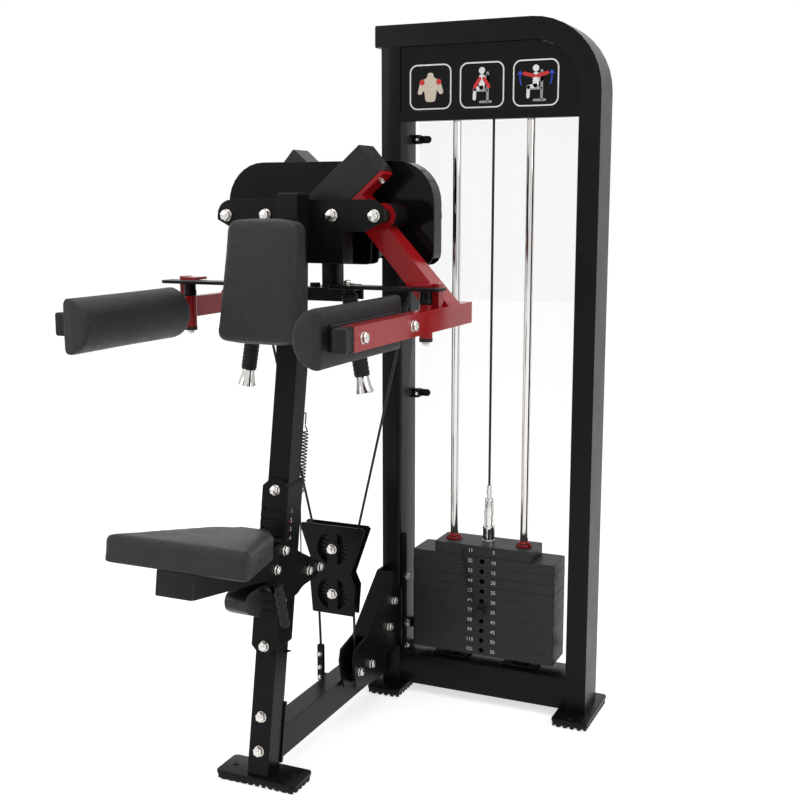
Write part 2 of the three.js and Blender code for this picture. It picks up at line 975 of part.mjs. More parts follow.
const teeth = Math.floor((railTop - railBottom - 2 * rackDepth) / slotPitch);
for (let i = 0; i < teeth; i += 1) {
  const z = railTop - rackDepth - i * slotPitch;
  rackPoints.push(offColumn(z, halfTube + rackDepth));
  rackPoints.push(offColumn(z - slotPitch / 2, halfTube + rackDepth));
  rackPoints.push(offColumn(z - slotPitch / 2, halfTube + rackDepth - rackTooth));
  rackPoints.push(offColumn(z - slotPitch + gap, halfTube + rackDepth - rackTooth));
}
const rack = alongX(rackPoints, -rackHalfWidth, rackHalfWidth);
const railBack = alongX(
  railProfile(halfTube + gap, halfTube + gap + rackGap, railBottom, railTop),
  -railHalf,
  railHalf,
);
const railSides = alongX(
  railProfile(halfTube - weld, halfTube + gap + rackGap, railBottom, railTop),
  -railHalf,
  railHalf,
).subtract(
  alongX(
    railProfile(0, halfTube + gap, railBottom - tubeWidth, railTop + tubeWidth),
    -halfTube - gap,
    halfTube + gap,
  ),
);
put(
  "seat_rail",
  black,
  cut(
    join(railChannel, railSides, railBack, rack),
    ...slots,
    frontCorner(-1, offColumn(railTop, railFace)[1], -1),
    frontCorner(1, offColumn(railTop, railFace)[1], -1),
    frontCorner(-1, offColumn(railBottom, railFace)[1], 1),
    frontCorner(1, offColumn(railBottom, railFace)[1], 1),
  ),
);

// Gusset bracket on the front of the left post, holding the base pulley between two plates
const sheaveSide = gussetSpacing / 2;
const gussetOutline = [
  [-gap, gussetTop],
  [-gussetTopDepth, gussetTop],
  [-gussetReach, gussetReachZ],
  [-pulleyArm + plateThickness, pulleyArmTop - plateThickness],
  [-pulleyArm, (pulleyArmTop + basePulleyZ) / 2],
  [-pulleyArm + 2 * plateThickness, (pulleyArmLow + basePulleyZ) / 2],
  [-pulleyArm + 3 * plateThickness, pulleyArmLow + plateThickness * 2],
  [-pulleyArmBack, pulleyArmLow],
  [-pulleyArmBack + plateThickness, (gussetHeelZ + pulleyArmLow) / 2],
  [-gap, gussetHeelZ - tubeWidth],
];
const gussetWall = (x0) => alongX(gussetOutline, x0, x0 + gussetPlate);
const gussetX = postMiddle;
const gussetCap = alongX(
  [
    [-gussetTopDepth, gussetTop],
    [-gussetReach, gussetReachZ],
    [-gussetReach, gussetReachZ - gussetPlate],
    [-gussetTopDepth, gussetTop - gussetPlate],
  ],
  gussetX - sheaveSide - gussetPlate,
  gussetX + sheaveSide + gussetPlate,
);
const gussetFoot = box(
  postLeft - gussetPlate,
  postRight + gussetPlate + gap,
  -gap - gussetPlate,
  -gap,
  gussetHeelZ - tubeWidth,
  gussetTop - tubeWidth,
).subtract(
  box(
    gussetX - sheaveSide,
    gussetX + sheaveSide,
    -tubeWidth,
    overrun,
    slotZ - tubeWidth / 2,
    slotZ + tubeWidth / 2,
  ),
);
const basePin = insidePin(
  gussetX - sheaveSide - weld,
  gussetX + sheaveSide + weld,
  basePulleyY,
  basePulleyZ,
);
put(
  "gusset_bracket",
  black,
  join(
    gussetWall(gussetX - sheaveSide - gussetPlate),
    gussetWall(gussetX + sheaveSide),
    gussetFoot,
    gussetCap,
    basePin,
  ),
);

// A grooved wheel with spoke windows. Its axis is y, its middle is the origin.
function wheel(rim, cableLine, half, bore) {
  const groove = cableLine - cableRadius - gap / 2;
  const profile = [
    [bore, -half],
    [sheaveHub, -half],
    [sheaveHub, -sheaveWeb],
    [groove - 2 * sheaveWeb, -sheaveWeb],
    [groove - 2 * sheaveWeb, -half + sheaveWeb],
    [rim, -half + sheaveWeb],
    [rim, -cableRadius - 2 * gap],
    [groove, -cableRadius - gap],
    [groove, cableRadius + gap],
    [rim, cableRadius + 2 * gap],
    [rim, half - sheaveWeb],
    [groove - 2 * sheaveWeb, half - sheaveWeb],
    [groove - 2 * sheaveWeb, sheaveWeb],
    [sheaveHub, sheaveWeb],
    [sheaveHub, half],
    [bore, half],
    [bore, -half],
  ].map(([r, z]) => new THREE.Vector2(r, z));
  const turned = new THREE.LatheGeometry(profile, 13);
  const middleRadius = (sheaveHub + groove - 2 * sheaveWeb) / 2;
  const holes = Array.from({ length: sheaveSpokes }, (_, i) => {
    const angle = radians((360 * i) / sheaveSpokes);
    const reach = Math.min(sheaveWindow, groove - 2 * sheaveWeb - sheaveHub) / 2 - gap;
    return alongY(
      circle(middleRadius * Math.cos(angle), middleRadius * Math.sin(angle), reach * 0.8, 6),
      -half,
      half,
    );
  });
  return cut(solid(turned), ...(rim > 2 * sheaveHub ? holes : []));
}

// A small grooved roller, its axis y
function roller(cableLine, half, bore) {
  const rim = cableLine + smallRim;
  const groove = cableLine - cableRadius - gap / 2;
  const profile = [
    [bore, -half],
    [rim, -half],
    [rim, -cableRadius - 2 * gap],
    [groove, -cableRadius - gap],
    [groove, cableRadius + gap],
    [rim, cableRadius + 2 * gap],
    [rim, half],
    [bore, half],
    [bore, -half],
  ].map(([r, z]) => new THREE.Vector2(r, z));
  return solid(new THREE.LatheGeometry(profile, 12));
}

const floatSheave = () => wheel(sheaveRim, sheaveRadius, sheaveHalf, sheaveBore);
const place = (mesh, x, y, z) => mesh.position.set(x, y, z);
const turnAcross = (mesh) => {
  mesh.rotation.z = Math.PI / 2;
  return mesh;
};
place(put("sheave_upper", nylon, floatSheave()), 0, middlePlane, blockUpper);
place(put("sheave_lower", nylon, floatSheave()), 0, middlePlane, blockLower);
place(turnAcross(put("base_pulley", nylon, floatSheave())), gussetX, basePulleyY, basePulleyZ);
place(
  turnAcross(put("post_pulley", nylon, roller(postPulleyRadius, sheaveHalf, sheaveBore))),
  gussetX,
  postPulleyY,
  postPulleyZ,
);
const topRoller = () => roller(topPulleyRadius, sheaveHalf, sheaveBore);
place(put("top_pulley_post", nylon, topRoller()), postMiddle + topPulleyRadius, rodDepth, topPulleyZ);
place(put("top_pulley_stack", nylon, topRoller()), stackX - topPulleyRadius, rodDepth, topPulleyZ);

// Guard sheet behind the stack, on the clips of both posts
const guard = box(
  postRight + guardInset,
  farPostLeft - guardInset,
  guardFront,
  guardFront + sheetThickness,
  guardBottom,
  guardTop,
);
put("guard_sheet", clear, guard);

// Guide rods and the rubber bumpers at their feet
const rodX = [stackX - rodSpacing / 2, stackX + rodSpacing / 2];
const rodHole = (x, z0, z1, radius = plateHole) =>
  alongZ(bore(x, rodDepth, radius, 8), z0 - overrun, z1 + overrun);
const rodSide = ["left", "right"];
rodX.forEach((x, i) => {
  const rod = alongZ(circle(x, rodDepth, rodRadius, 16), crossTop + gap, beamUnder - gap);
  put(`guide_rod_${rodSide[i]}`, chrome, rod);
  const holder = box(
    x - bumperHalfWidth,
    x + bumperHalfWidth,
    rodDepth - bumperHalfWidth / 1.5,
    rodDepth + bumperHalfWidth / 1.5,
    crossTop + gap,
    crossTop + gap + bumperHolder,
  );
  const ring = alongZ(circle(x, rodDepth, bumperRadius, 12), crossTop + bumperHolder, stackBottom - gap);
  const bumper = cut(join(holder, ring), rodHole(x, crossTop, stackBottom, rodRadius + gap));
  put(`bumper_${rodSide[i]}`, rubber, bumper);
});

// Weight plates, head plate with its stem and the selector spine
const stackTop = stackBottom + plateCount * platePitch;
const stackFront = rodDepth - stackHalfDepth;
const plateBase = (number) => stackBottom + (plateCount - number) * platePitch;
const selectorZ = (number) => plateBase(number) + platePitch / 2;
const plateOutline = rounded(
  stackX - stackHalfWidth,
  stackX + stackHalfWidth,
  stackFront,
  rodDepth + stackHalfDepth,
  plateCorner,
  1,
);
for (let number = 1; number <= plateCount; number += 1) {
  const low = plateBase(number);
  const high = low + platePitch - gap;
  const plate = cut(
    alongZ(plateOutline, low, high),
    ...rodX.map((x) => rodHole(x, low, high)),
    alongZ(bore(stackX, rodDepth, stemHole, 8), low - overrun, high + overrun),
    alongY(bore(stackX, selectorZ(number), selectorHole, 6), stackFront - overrun, rodDepth),
  );
  put(`weight_plate_${String(number).padStart(2, "0")}`, steel, plate);
}
const headTop = stackTop + headHeight;
const spineBottom = stackBottom + platePitch / 4;
const spineHoles = Array.from({ length: plateCount }, (_, i) =>
  alongY(
    bore(stackX, selectorZ(i + 1), selectorHole, 6),
    rodDepth - stemHole,
    rodDepth + stemHole,
  ),
);
const bushes = rodX.map((x) =>
  alongZ(circle(x, rodDepth, bushRadius, 12), headTop - weld, headTop + bushHeight),
);
const stemPart = (radius, z0, z1) => alongZ(circle(stackX, rodDepth, radius, 10), z0, z1);
put(
  "head_plate",
  steel,
  cut(
    join(
      alongZ(
        rounded(
          stackX - headHalfWidth,
          stackX + headHalfWidth,
          rodDepth - headHalfDepth,
          rodDepth + headHalfDepth,
          plateCorner,
          1,
        ),
        stackTop,
        headTop,
      ),
      ...bushes,
      stemPart(collarRadius, headTop - weld, collarTop),
      stemPart(stemRadius, collarTop - weld, stemTop),
      stemPart(neckRadius, stemTop - weld, neckTop),
      stemPart(spineRadius, spineBottom, stackTop + weld),
    ),
    ...rodX.map((x) => rodHole(x, stackTop, headTop + bushHeight, rodRadius + gap)),
    ...spineHoles,
  ),
);

// Selector pin, in its plate and the spine, with a curly cord to the head plate
const pinZ = selectorZ(pinPlate);
const knobBack = stackFront - gap;
const knobFront = knobBack - pinKnobLength;
put(
  "selector_pin",
  nylon,
  join(
    alongY(circle(stackX, pinZ, pinRadius, 12), knobBack - weld, knobBack + pinLength),
    alongY(circle(stackX, pinZ, pinKnobRadius, 14), knobFront, knobBack),
    alongY(circle(stackX, pinZ, pinKnobRadius * 1.25, 14), knobFront, knobFront + pinKnobLength / 5),
  ),
);

// A wound wire round a straight line, with straight leads at both ends
function wound(from, to, radius, curls, leadIn, leadOut) {
  const axis = to.clone().sub(from);
  const way = axis.clone().normalize();
  const across = new THREE.Vector3().crossVectors(way, new THREE.Vector3(0, 1, 0)).normalize();
  const third = new THREE.Vector3().crossVectors(way, across);
  const points = [...leadIn];
  const steps = curls * 8;
  for (let i = 0; i <= steps; i += 1) {
    const angle = (2 * Math.PI * i) / 8;
    points.push(
      from
        .clone()
        .addScaledVector(axis, i / steps)
        .addScaledVector(across, radius * Math.cos(angle))
        .addScaledVector(third, radius * Math.sin(angle)),
    );
  }
  return [...points, ...leadOut];
}

const headFront = rodDepth - headHalfDepth;
const lanyardX = stackX - tubeWidth;
const lanyardTop = stackTop + headHeight / 2;
const lanyardAxis = headFront - gap - lanyardRadius * 2;
const lanyardFrom = new THREE.Vector3(lanyardX, lanyardAxis, lanyardTop - lanyardRadius * 1.6);
const lanyardTo = new THREE.Vector3(
  stackX - pinKnobRadius * 2,
  (knobFront + knobBack) / 2,
  lanyardTop - lanyardDrop,
);
const knobSide = stackX - pinKnobRadius - gap;
const lanyardPoints = wound(
  lanyardFrom,
  lanyardTo,
  lanyardRadius,
  lanyardCurls,
  [
    new THREE.Vector3(lanyardX, headFront - gap, lanyardTop),
    new THREE.Vector3(lanyardX, headFront - gap - 2 * lanyardWire, lanyardTop),
  ],
  [
    new THREE.Vector3(knobSide - 3 * lanyardWire, (knobFront + knobBack) / 2, pinZ + 2 * lanyardWire),
    new THREE.Vector3(knobSide - 2 * lanyardWire, (knobFront + knobBack) / 2, pinZ),
    new THREE.Vector3(knobSide, (knobFront + knobBack) / 2, pinZ),
  ],
);
console.log("lanyard's least gap", leastGap(lanyardPoints, lanyardWire, 6).toFixed(2));
put("lanyard", nylon, wire(lanyardPoints, lanyardWire, 5));

// Brackets in front of and behind the housing. The rear one is the front one mirrored.
const behind = (z) => middleAt(z) + halfTube / Math.cos(upperLean);
const bracketOut = middlePlane - behind(bracketTop) - gap; // from the middle plane
const bracketIn = bracketOut - plateThickness;
const ranges = (side, near, far) =>
  side < 0 ? [middlePlane - far, middlePlane - near] : [middlePlane + near, middlePlane + far];
const bothSides = (half) => [...half, ...half.map(([u, v]) => [-u, v]).reverse()];
const earX = pivotSpacing + earRadius;
const bracketRound = bracketTop - pivotHeight;
const bracketOutline = bothSides([
  ...arc(earX - bracketRound, pivotHeight, bracketRound, 90, 0, 5),
  [earX, pivotHeight - earRadius / 2.6],
  [pivotSpacing - earRadius * 0.9, bracketLow],
  [blockHalfWidth, bracketLow],
  [blockHalfWidth, blockBottom],
]);
function bracket(side) {
  const [y0, y1] = ranges(side, bracketIn, bracketOut);
  const [b0, b1] = ranges(side, bracketIn - blockDepth, bracketIn + weld);
  const block = box(-blockHalfWidth, blockHalfWidth, b0, b1, blockBottom, blockTop);
  const inside = box(
    -blockHalfWidth + plateThickness,
    blockHalfWidth - plateThickness,
    b0 + (side < 0 ? 0 : plateThickness),
    b1 - (side < 0 ? plateThickness : 0),
    blockBottom - overrun,
    blockTop - plateThickness,
  );
  const hollowBlock = cut(block, inside.intersect(
    box(-blockHalfWidth, blockHalfWidth, b0 + plateThickness, b1 - plateThickness, 0, frameHeight),
  ));
  const [s0, s1] = ranges(side, housingHalf + gap, bracketIn - blockDepth + weld);
  const posts = [spacerInner, spacerOuter].flatMap((x) =>
    [spacerLow, spacerHigh].map((z) => alongY(circle(side * x, z, spacerRadius, 12), s0, s1)),
  );
  const holes = [-1, 1].map((way) =>
    alongY(
      bore(way * pivotSpacing, pivotHeight, shaftRadius + running, 14),
      y0 - overrun,
      y1 + overrun,
    ),
  );
  return cut(join(alongY(bracketOutline, y0, y1), hollowBlock, ...posts), ...holes);
}
put("front_bracket", black, bracket(-1));
put("rear_bracket", black, bracket(1));

// Cam housing: two plates joined by a rim, open below where the cables come out
const archHalf = archWidth / 2;
const archMiddle = lobeHalfWidth + archHalf;
const legInner = lobeHalfWidth + archWidth;
const housingOutline = bothSides([
  ...arc(housingHalfWidth - housingCorner, housingTop - housingCorner, housingCorner, 90, 0, 8),
  ...arc(housingHalfWidth - legCorner, housingBottom + legCorner, legCorner, 0, -90, 4),
  ...arc(legInner + archCorner, housingBottom + archCorner, archCorner, 270, 180, 2),
  ...arc(archMiddle, archTop - archHalf, archHalf, 0, 180, 8),
  ...arc(lobeHalfWidth - archCorner, housingBottom + archCorner, archCorner, 0, -90, 2),
]);
const innerCorner = housingCorner - housingWall;
const housingInside = bothSides([
  ...arc(housingHalfWidth - housingCorner, housingTop - housingCorner, innerCorner, 90, 0, 8),
  [housingHalfWidth - housingWall, housingBottom - overrun],
]);
const lobeFloor = box(
  -lobeHalfWidth + archCorner,
  lobeHalfWidth - archCorner,
  middlePlane - housingHalf + weld,
  middlePlane + housingHalf - weld,
  housingBottom,
  housingBottom + housingWall,
);
const housingHole = (x, radius, side) => {
  const [y0, y1] = ranges(side, housingHalf - housingWall - overrun, housingHalf + overrun);
  return alongY(bore(x, pivotHeight, radius, 16), y0, y1);
};
put(
  "cam_housing",
  gloss,
  cut(
    join(
      cut(
        alongY(housingOutline, middlePlane - housingHalf, middlePlane + housingHalf),
        alongY(
          housingInside,
          middlePlane - housingHalf + housingWall,
          middlePlane + housingHalf - housingWall,
        ),
      ),
      lobeFloor,
    ),
    housingHole(pivotSpacing, hubHole, -1),
    housingHole(pivotSpacing, shaftRadius + running, 1),
    housingHole(-pivotSpacing, shaftRadius + running, -1),
    housingHole(-pivotSpacing, hubHole, 1),
  ),
);

// Hanger below the housing, with the stop bracket and its two rubber stops
const hangerTop = housingBottom - gap;
const hangerTube = hollow(
  rounded(
    -hangerHalf,
    hangerHalf,
    middlePlane - hangerDepth / 2,
    middlePlane + hangerDepth / 2,
    tubeCorner,
  ),
  rounded(
    -hangerHalf + tubeWall,
    hangerHalf - tubeWall,
    middlePlane - hangerDepth / 2 + tubeWall,
    middlePlane + hangerDepth / 2 - tubeWall,
    tubeCorner - tubeWall,
  ),
  alongZ,
  hangerBottom - weld,
  hangerTop,
);
const stopPlate = box(
  -stopHalfWidth,
  stopHalfWidth,
  middlePlane - stopDepth / 2,
  middlePlane + stopDepth / 2,
  hangerBottom - plateThickness,
  hangerBottom,
);
const stopLip = (side) => {
  const y = middlePlane + (side * (stopDepth - plateThickness)) / 2;
  return box(
    -stopHalfWidth,
    stopHalfWidth,
    y - plateThickness / 2,
    y + plateThickness / 2,
    hangerBottom - stopHeight,
    hangerBottom,
  );
};
const stopRubber = (side) => {
  const x = side * (stopHalfWidth - spacerRadius);
  return alongZ(
    circle(x, middlePlane, spacerRadius, 14),
    hangerBottom - weld,
    hangerBottom + plateThickness,
  );
};
put(
  "hanger",
  black,
  join(hangerTube, stopPlate, stopLip(-1), stopLip(1), stopRubber(-1), stopRubber(1)),
);

// Arms: a tube from the pivot down to a bar that runs to the front, with a flange for its weight
const block = (a0, a1, b0, b1) => [inArm(a0, b0), inArm(a1, b0), inArm(a1, b1), inArm(a0, b1)];
const hubAt = (radius, y0, y1, sides = 14) =>
  alongY(circle(pivotSpacing, pivotHeight, radius, sides), y0, y1);

function arm(side, barEnd) {
  const [y0, y1] = ranges(side, armTubeStart, armTubeStart + armTubeDepth);
  const outer = -armTubeOffset + armTube / 2;
  const inner = -armTubeOffset - armTube / 2;
  const reach = pivotHeight - barBottom + tubeDepth;
  const tube = cut(
    alongY(block(inner, outer, -weightFace + armFlange - weld, reach), y0, y1),
    alongY(
      block(inner + tubeWall, outer - tubeWall, -weightFace + armFlange, reach + overrun),
      y0 + tubeWall,
      y1 - tubeWall,
    ),
    box(0, tubeDepth * 8, y0 - overrun, y1 + overrun, 0, barTop - weld),
  );
  const flangePlate = alongY(
    block(weightEnd - armFlangeLength, weightEnd, -weightFace, -weightFace + armFlange),
    y0,
    y1,
  );
  const collar = hubAt(shaftRadius * 1.6, ...ranges(side, armTubeStart, bracketIn - gap));
  const neck = hubAt(armNeck, ...ranges(side, camHalf + gap, armTubeStart + weld));
  const shaft = hubAt(
    shaftRadius,
    middlePlane - bracketOut - plateThickness,
    middlePlane + bracketOut + plateThickness,
  );
  const bar = cut(
    box(barInner, barInner + barWidth, -barFront, barEnd, barBottom, barTop),
    box(
      barInner + tubeWall,
      barInner + barWidth - tubeWall,
      -barFront + tubeWall,
      barEnd + overrun,
      barBottom + tubeWall,
      barTop - tubeWall,
    ),
  );
  const cap = alongY(
    rounded(barInner + weld, barInner + barWidth - weld, barBottom + weld, barTop - weld, tubeWall),
    -barFront - barCap,
    -barFront + weld,
  );
  const sleeve = cut(
    alongZ(circle(sleeveX, -sleeveY, sleeveRadius, 16), sleeveBottom, sleeveTop),
    alongZ(
      bore(sleeveX, -sleeveY, handlePinRadius + running, 14),
      sleeveBottom - overrun,
      sleeveTop + overrun,
    ),
  );
  const upright = box(
    uprightX,
    uprightX + uprightWidth,
    -sleeveY + weld,
    -sleeveY + uprightDepth,
    barTop - weld,
    uprightTop,
  );
  const plateTop = handlePlateBottom + handlePlateThickness;
  const tie = box(
    sleeveX - 2 * sleeveRadius,
    uprightX + weld,
    -sleeveY - sleeveRadius,
    side < 0 ? y0 + weld : -sleeveY + uprightDepth - weld,
    plateTop + gap,
    uprightTop - weld,
  );
  const bosses = [padBoltFront, padBoltBack].map((y) =>
    alongX(
      circle(-y, forearmMiddle, padBossRadius, 12),
      forearmFlat + boardThickness + gap,
      barInner + weld,
    ),
  );
  const hub = hubAt(armHub, y0 - weld, y1 + weld);
  return join(tube, flangePlate, hub, collar, neck, shaft, bar, cap, sleeve, upright, tie, ...bosses);
}
put("arm_right", red, arm(-1, -barBack));
put("arm_left", red, arm(1, -barBackLeft), leftSide);

function counterweight(side) {
  const [y0, y1] = ranges(side, armTubeStart, armTubeStart + armTubeDepth);
  const a0 = weightEnd - weightLength;
  const b0 = -weightFace - weightWidth;
  const b1 = -weightFace - gap;
  const c = weightCorner;
  const points = [
    inArm(a0 + c, b0),
    inArm(weightEnd - c, b0),
    inArm(weightEnd, b0 + c),
    inArm(weightEnd, b1 - c),
    inArm(weightEnd - c, b1),
    inArm(a0 + c, b1),
    inArm(a0, b1 - c),
    inArm(a0, b0 + c),
  ];
  return alongY(points, y0, y1);
}
put("counterweight_right", black, counterweight(-1));
put("counterweight_left", black, counterweight(1), leftSide);

// Cams: a round part that the cable lies on, swelling into a lobe below and inwards
function cam() {
  const edge = camRadius - cableRadius - gap;
  const sides = 40;
  const points = Array.from({ length: sides }, (_, i) => {
    const angle = (360 * i) / sides;
    const away = Math.abs(angle - camPeakAngle);
    const radius = edge + (camLobe - edge) * (1 - THREE.MathUtils.smoothstep(away, 0, 2 * camRiseAngle));
    return [
      pivotSpacing + radius * Math.cos(radians(angle)),
      pivotHeight + radius * Math.sin(radians(angle)),
    ];
  });
  const windows = [40, 130, 310].map((angle) => {
    const reach = (edge + shaftRadius) / 2;
    return alongY(
      circle(
        pivotSpacing + reach * Math.cos(radians(angle)),
        pivotHeight + reach * Math.sin(radians(angle)),
        camWindow / 2,
        12,
      ),
      middlePlane - camHalf - overrun,
      middlePlane + camHalf + overrun,
    );
  });
  return cut(
    alongY(points, middlePlane - camHalf, middlePlane + camHalf),
    alongY(
      bore(pivotSpacing, pivotHeight, shaftRadius + gap, 16),
      middlePlane - camHalf - overrun,
      middlePlane + camHalf + overrun,
    ),
    ...windows,
  );
}
put("cam_right", red, cam());
put("cam_left", red, cam(), leftSide);

// Handles: a plate that swings on a pin in the arm's sleeve, and a grip that hangs from it
function handle() {
  const top = handlePlateBottom + handlePlateThickness;
  const lug = circle(sleeveX, -sleeveY, handleLugRadius, 14);
  const rear = -sleeveY - gap;
  const stripBack = -handlePlateFront + handleTabDepth;
  const plate = join(
    alongZ(
      [
        [handleInner - handleTabHalf + tubeCorner, -handlePlateFront],
        [handlePlateOuter - tubeCorner, -handlePlateFront],
        [handlePlateOuter, -handlePlateFront + tubeCorner],
        [handlePlateOuter, rear],
        [handleInner + handleTabHalf, rear],
        [handleInner + handleTabHalf, -handleY + handleTabHalf],
        [handleInner - handleTabHalf + tubeCorner, -handleY + handleTabHalf],
        [handleInner - handleTabHalf, -handleY + handleTabHalf - tubeCorner],
        [handleInner - handleTabHalf, stripBack - handleTabDepth + tubeCorner],
      ],
      handlePlateBottom,
      top,
    ),
    alongZ(lug, handlePlateBottom, top),
    alongZ(circle(sleeveX, -sleeveY, handlePinRadius, 14), sleeveBottom, handlePlateBottom + weld),
    alongZ(
      circle(sleeveX, -sleeveY, sleeveRadius - weld, 16),
      sleeveTop + gap,
      handlePlateBottom + weld,
    ),
  );
  const from = new THREE.Vector3(handleInner, -handleY, top);
  const to = new THREE.Vector3(handleEndX, -handleY, handleEndZ);
  const length = from.distanceTo(to);
  const share = (z) => ((top - z) / (top - handleEndZ)) * length;
  const profile = [
    [0, 0],
    [handleStem, 0],
    [handleStem, share(gripStart)],
    [gripRadius, share(gripStart) + handleStem / 4],
    [gripRadius, share(gripEnd)],
    [handleStem, share(gripEnd)],
    [handleStem, share(gripEnd) + handleStem / 4],
    [flareRadius, length],
    [0, length],
  ].map(([r, along]) => new THREE.Vector2(r, -along));
  const stem = new THREE.LatheGeometry(profile.reverse(), 14);
  const turn = new THREE.Quaternion().setFromUnitVectors(
    new THREE.Vector3(0, -1, 0),
    to.clone().sub(from).normalize(),
  );
  stem.applyQuaternion(turn).translate(from.x, from.y, from.z);
  return join(plate, solid(stem));
}
put("handle_right", nylon, handle());
put("handle_left", nylon, handle(), leftSide);

// Floating block: two waisted plates with a strapped window at each sheave
const floatOutline = bothSides([
  [floatTopHalf - weld * 6, floatTop],
  [floatTopHalf, floatTop - weld * 6],
  [floatWaistHalf, floatWaistZ],
  [floatHipHalf, floatHipZ],
  [floatBottomHalf, floatBottom],
]);
const floatWindows = [blockUpper, blockLower].map((z) =>
  cut(
    alongY(circle(0, z, floatWindow, 20), middlePlane - tubeWidth, middlePlane + tubeWidth),
    box(
      -floatStrap / 2,
      floatStrap / 2,
      middlePlane - tubeDepth,
      middlePlane + tubeDepth,
      z - tubeWidth,
      z + tubeWidth,
    ),
  ),
);
const floatPlates = [-1, 1].map((side) =>
  alongY(floatOutline, ...ranges(side, floatHalf, floatHalf + floatPlate)),
);
const floatAxles = [blockUpper, blockLower].map((z) =>
  alongY(
    circle(0, z, axleRadius, 12),
    middlePlane - floatHalf - weld,
    middlePlane + floatHalf + weld,
  ),
);
const floatSides = floatPlates.map((plate) => cut(plate, ...floatWindows));
put("floating_block", black, join(...floatSides, ...floatAxles));

// Cable adjuster: a holed strip beside the base beam
const stripX = -halfTube - gap - stripWidth;
put(
  "cable_adjuster",
  black,
  cut(
    alongX(
      rounded(
        middlePlane - stripDepth / 2,
        middlePlane + stripDepth / 2,
        stripBottom,
        stripTop,
        stripDepth / 2.5,
      ),
      stripX,
      stripX + stripWidth,
    ),
    ...stripHoleShares.map((share) =>
      alongX(
        circle(middlePlane, stripBottom + (stripTop - stripBottom) * share, stripHole, 8),
        stripX - overrun,
        stripX + stripWidth + overrun,
      ),
    ),
  ),
);

// Cables. A route is a list of circles, each passed clockwise (-1) or the other way (+1).
function tangent([au, av, ar, as], [bu, bv, br, bs]) {
  const alpha = Math.atan2(bv - av, bu - au);
  const phi = alpha - Math.asin((bs * br - as * ar) / Math.hypot(bu - au, bv - av));
  const normal = [-Math.sin(phi), Math.cos(phi)];
  return [
    [au - as * ar * normal[0], av - as * ar * normal[1]],
    [bu - bs * br * normal[0], bv - bs * br * normal[1]],
  ];
}

function wrap([u, v, radius, turn], from, to) {
  const start = Math.atan2(from[1] - v, from[0] - u);
  let span = Math.atan2(to[1] - v, to[0] - u) - start;
  while (turn * span < 0) span += turn * 2 * Math.PI;
  const steps = Math.max(2, Math.ceil(Math.abs(span) / radians(24)));
  // corners outside the circle, so that each stretch of the cable touches it
  const reach = radius / Math.cos(span / steps / 2);
  const corners = Array.from({ length: steps }, (_, i) => {
    const angle = start + (span * (i + 0.5)) / steps;
    return [u + reach * Math.cos(angle), v + reach * Math.sin(angle)];
  });
  return [from, ...corners, to];
}

const inPlane = ([x, z]) => new THREE.Vector3(x, middlePlane, z);
const rightCam = [pivotSpacing, pivotHeight, camRadius, -1];
const leftCam = [-pivotSpacing, pivotHeight, camRadius, -1];
const upper = [0, blockUpper, sheaveRadius, -1];
const lower = [0, blockLower, sheaveRadius, -1];
const downRight = tangent(rightCam, upper);
const upLeft = tangent(upper, leftCam);
const camTop = (sign) => [
  sign * (pivotSpacing + camRadius * Math.cos(radians(60))),
  pivotHeight + camRadius * Math.sin(radians(60)),
];
put(
  "cable_arms",
  nylon,
  wire(
    [
      ...wrap(rightCam, camTop(1), downRight[0]),
      ...wrap(upper, downRight[1], upLeft[0]),
      ...wrap(leftCam, upLeft[1], camTop(-1)),
    ].map(inPlane),
    cableRadius,
    7,
  ),
);
const anchor = [stripX + stripWidth / 2, stripTop + 3 * gap, 0, 1];
const upAnchor = tangent(anchor, lower);
const dropX = gussetX - gap;
const downDrop = tangent(lower, [dropX, basePulleyZ + gap, 0, 1]);
const dropY = basePulleyY - sheaveRadius;
const lowerPoints = [...wrap(lower, upAnchor[1], downDrop[0])].map(inPlane);
put(
  "cable_float",
  nylon,
  wire(
    [
      inPlane(upAnchor[0]),
      ...lowerPoints,
      new THREE.Vector3(gussetX, dropY, basePulleyZ + gap / 2 + tubeWidth / 2),
      new THREE.Vector3(gussetX, dropY, basePulleyZ + gap / 2),
    ],
    cableRadius,
    7,
  ),
);
const baseWheel = [basePulleyY, basePulleyZ, sheaveRadius, 1];
const postWheel = [postPulleyY, postPulleyZ, postPulleyRadius, 1];
const intoPost = tangent(baseWheel, postWheel);
const beamTopZ = topPulleyZ + topPulleyRadius;
const towerPoints = [
  ...wrap(baseWheel, [dropY, basePulleyZ], intoPost[0]),
  ...wrap(postWheel, intoPost[1], [rodDepth, postPulleyZ]),
].map(([y, z]) => new THREE.Vector3(gussetX, y, z));
const overPost = wrap(
  [postMiddle + topPulleyRadius, topPulleyZ, topPulleyRadius, -1],
  [postMiddle, topPulleyZ],
  [postMiddle + topPulleyRadius, beamTopZ],
);
const overStack = wrap(
  [stackX - topPulleyRadius, topPulleyZ, topPulleyRadius, -1],
  [stackX - topPulleyRadius, beamTopZ],
  [stackX, topPulleyZ],
);
const inBeam = ([x, z]) => new THREE.Vector3(x, rodDepth, z);
put(
  "cable_tower",
  nylon,
  wire([...towerPoints, ...overPost.map(inBeam), ...overStack.map(inBeam)], cableRadius, 7),
);
put(
  "cable_stack",
  nylon,
  alongZ(circle(stackX, rodDepth, cableRadius, 8), neckTop + gap, topPulleyZ - gap),
);

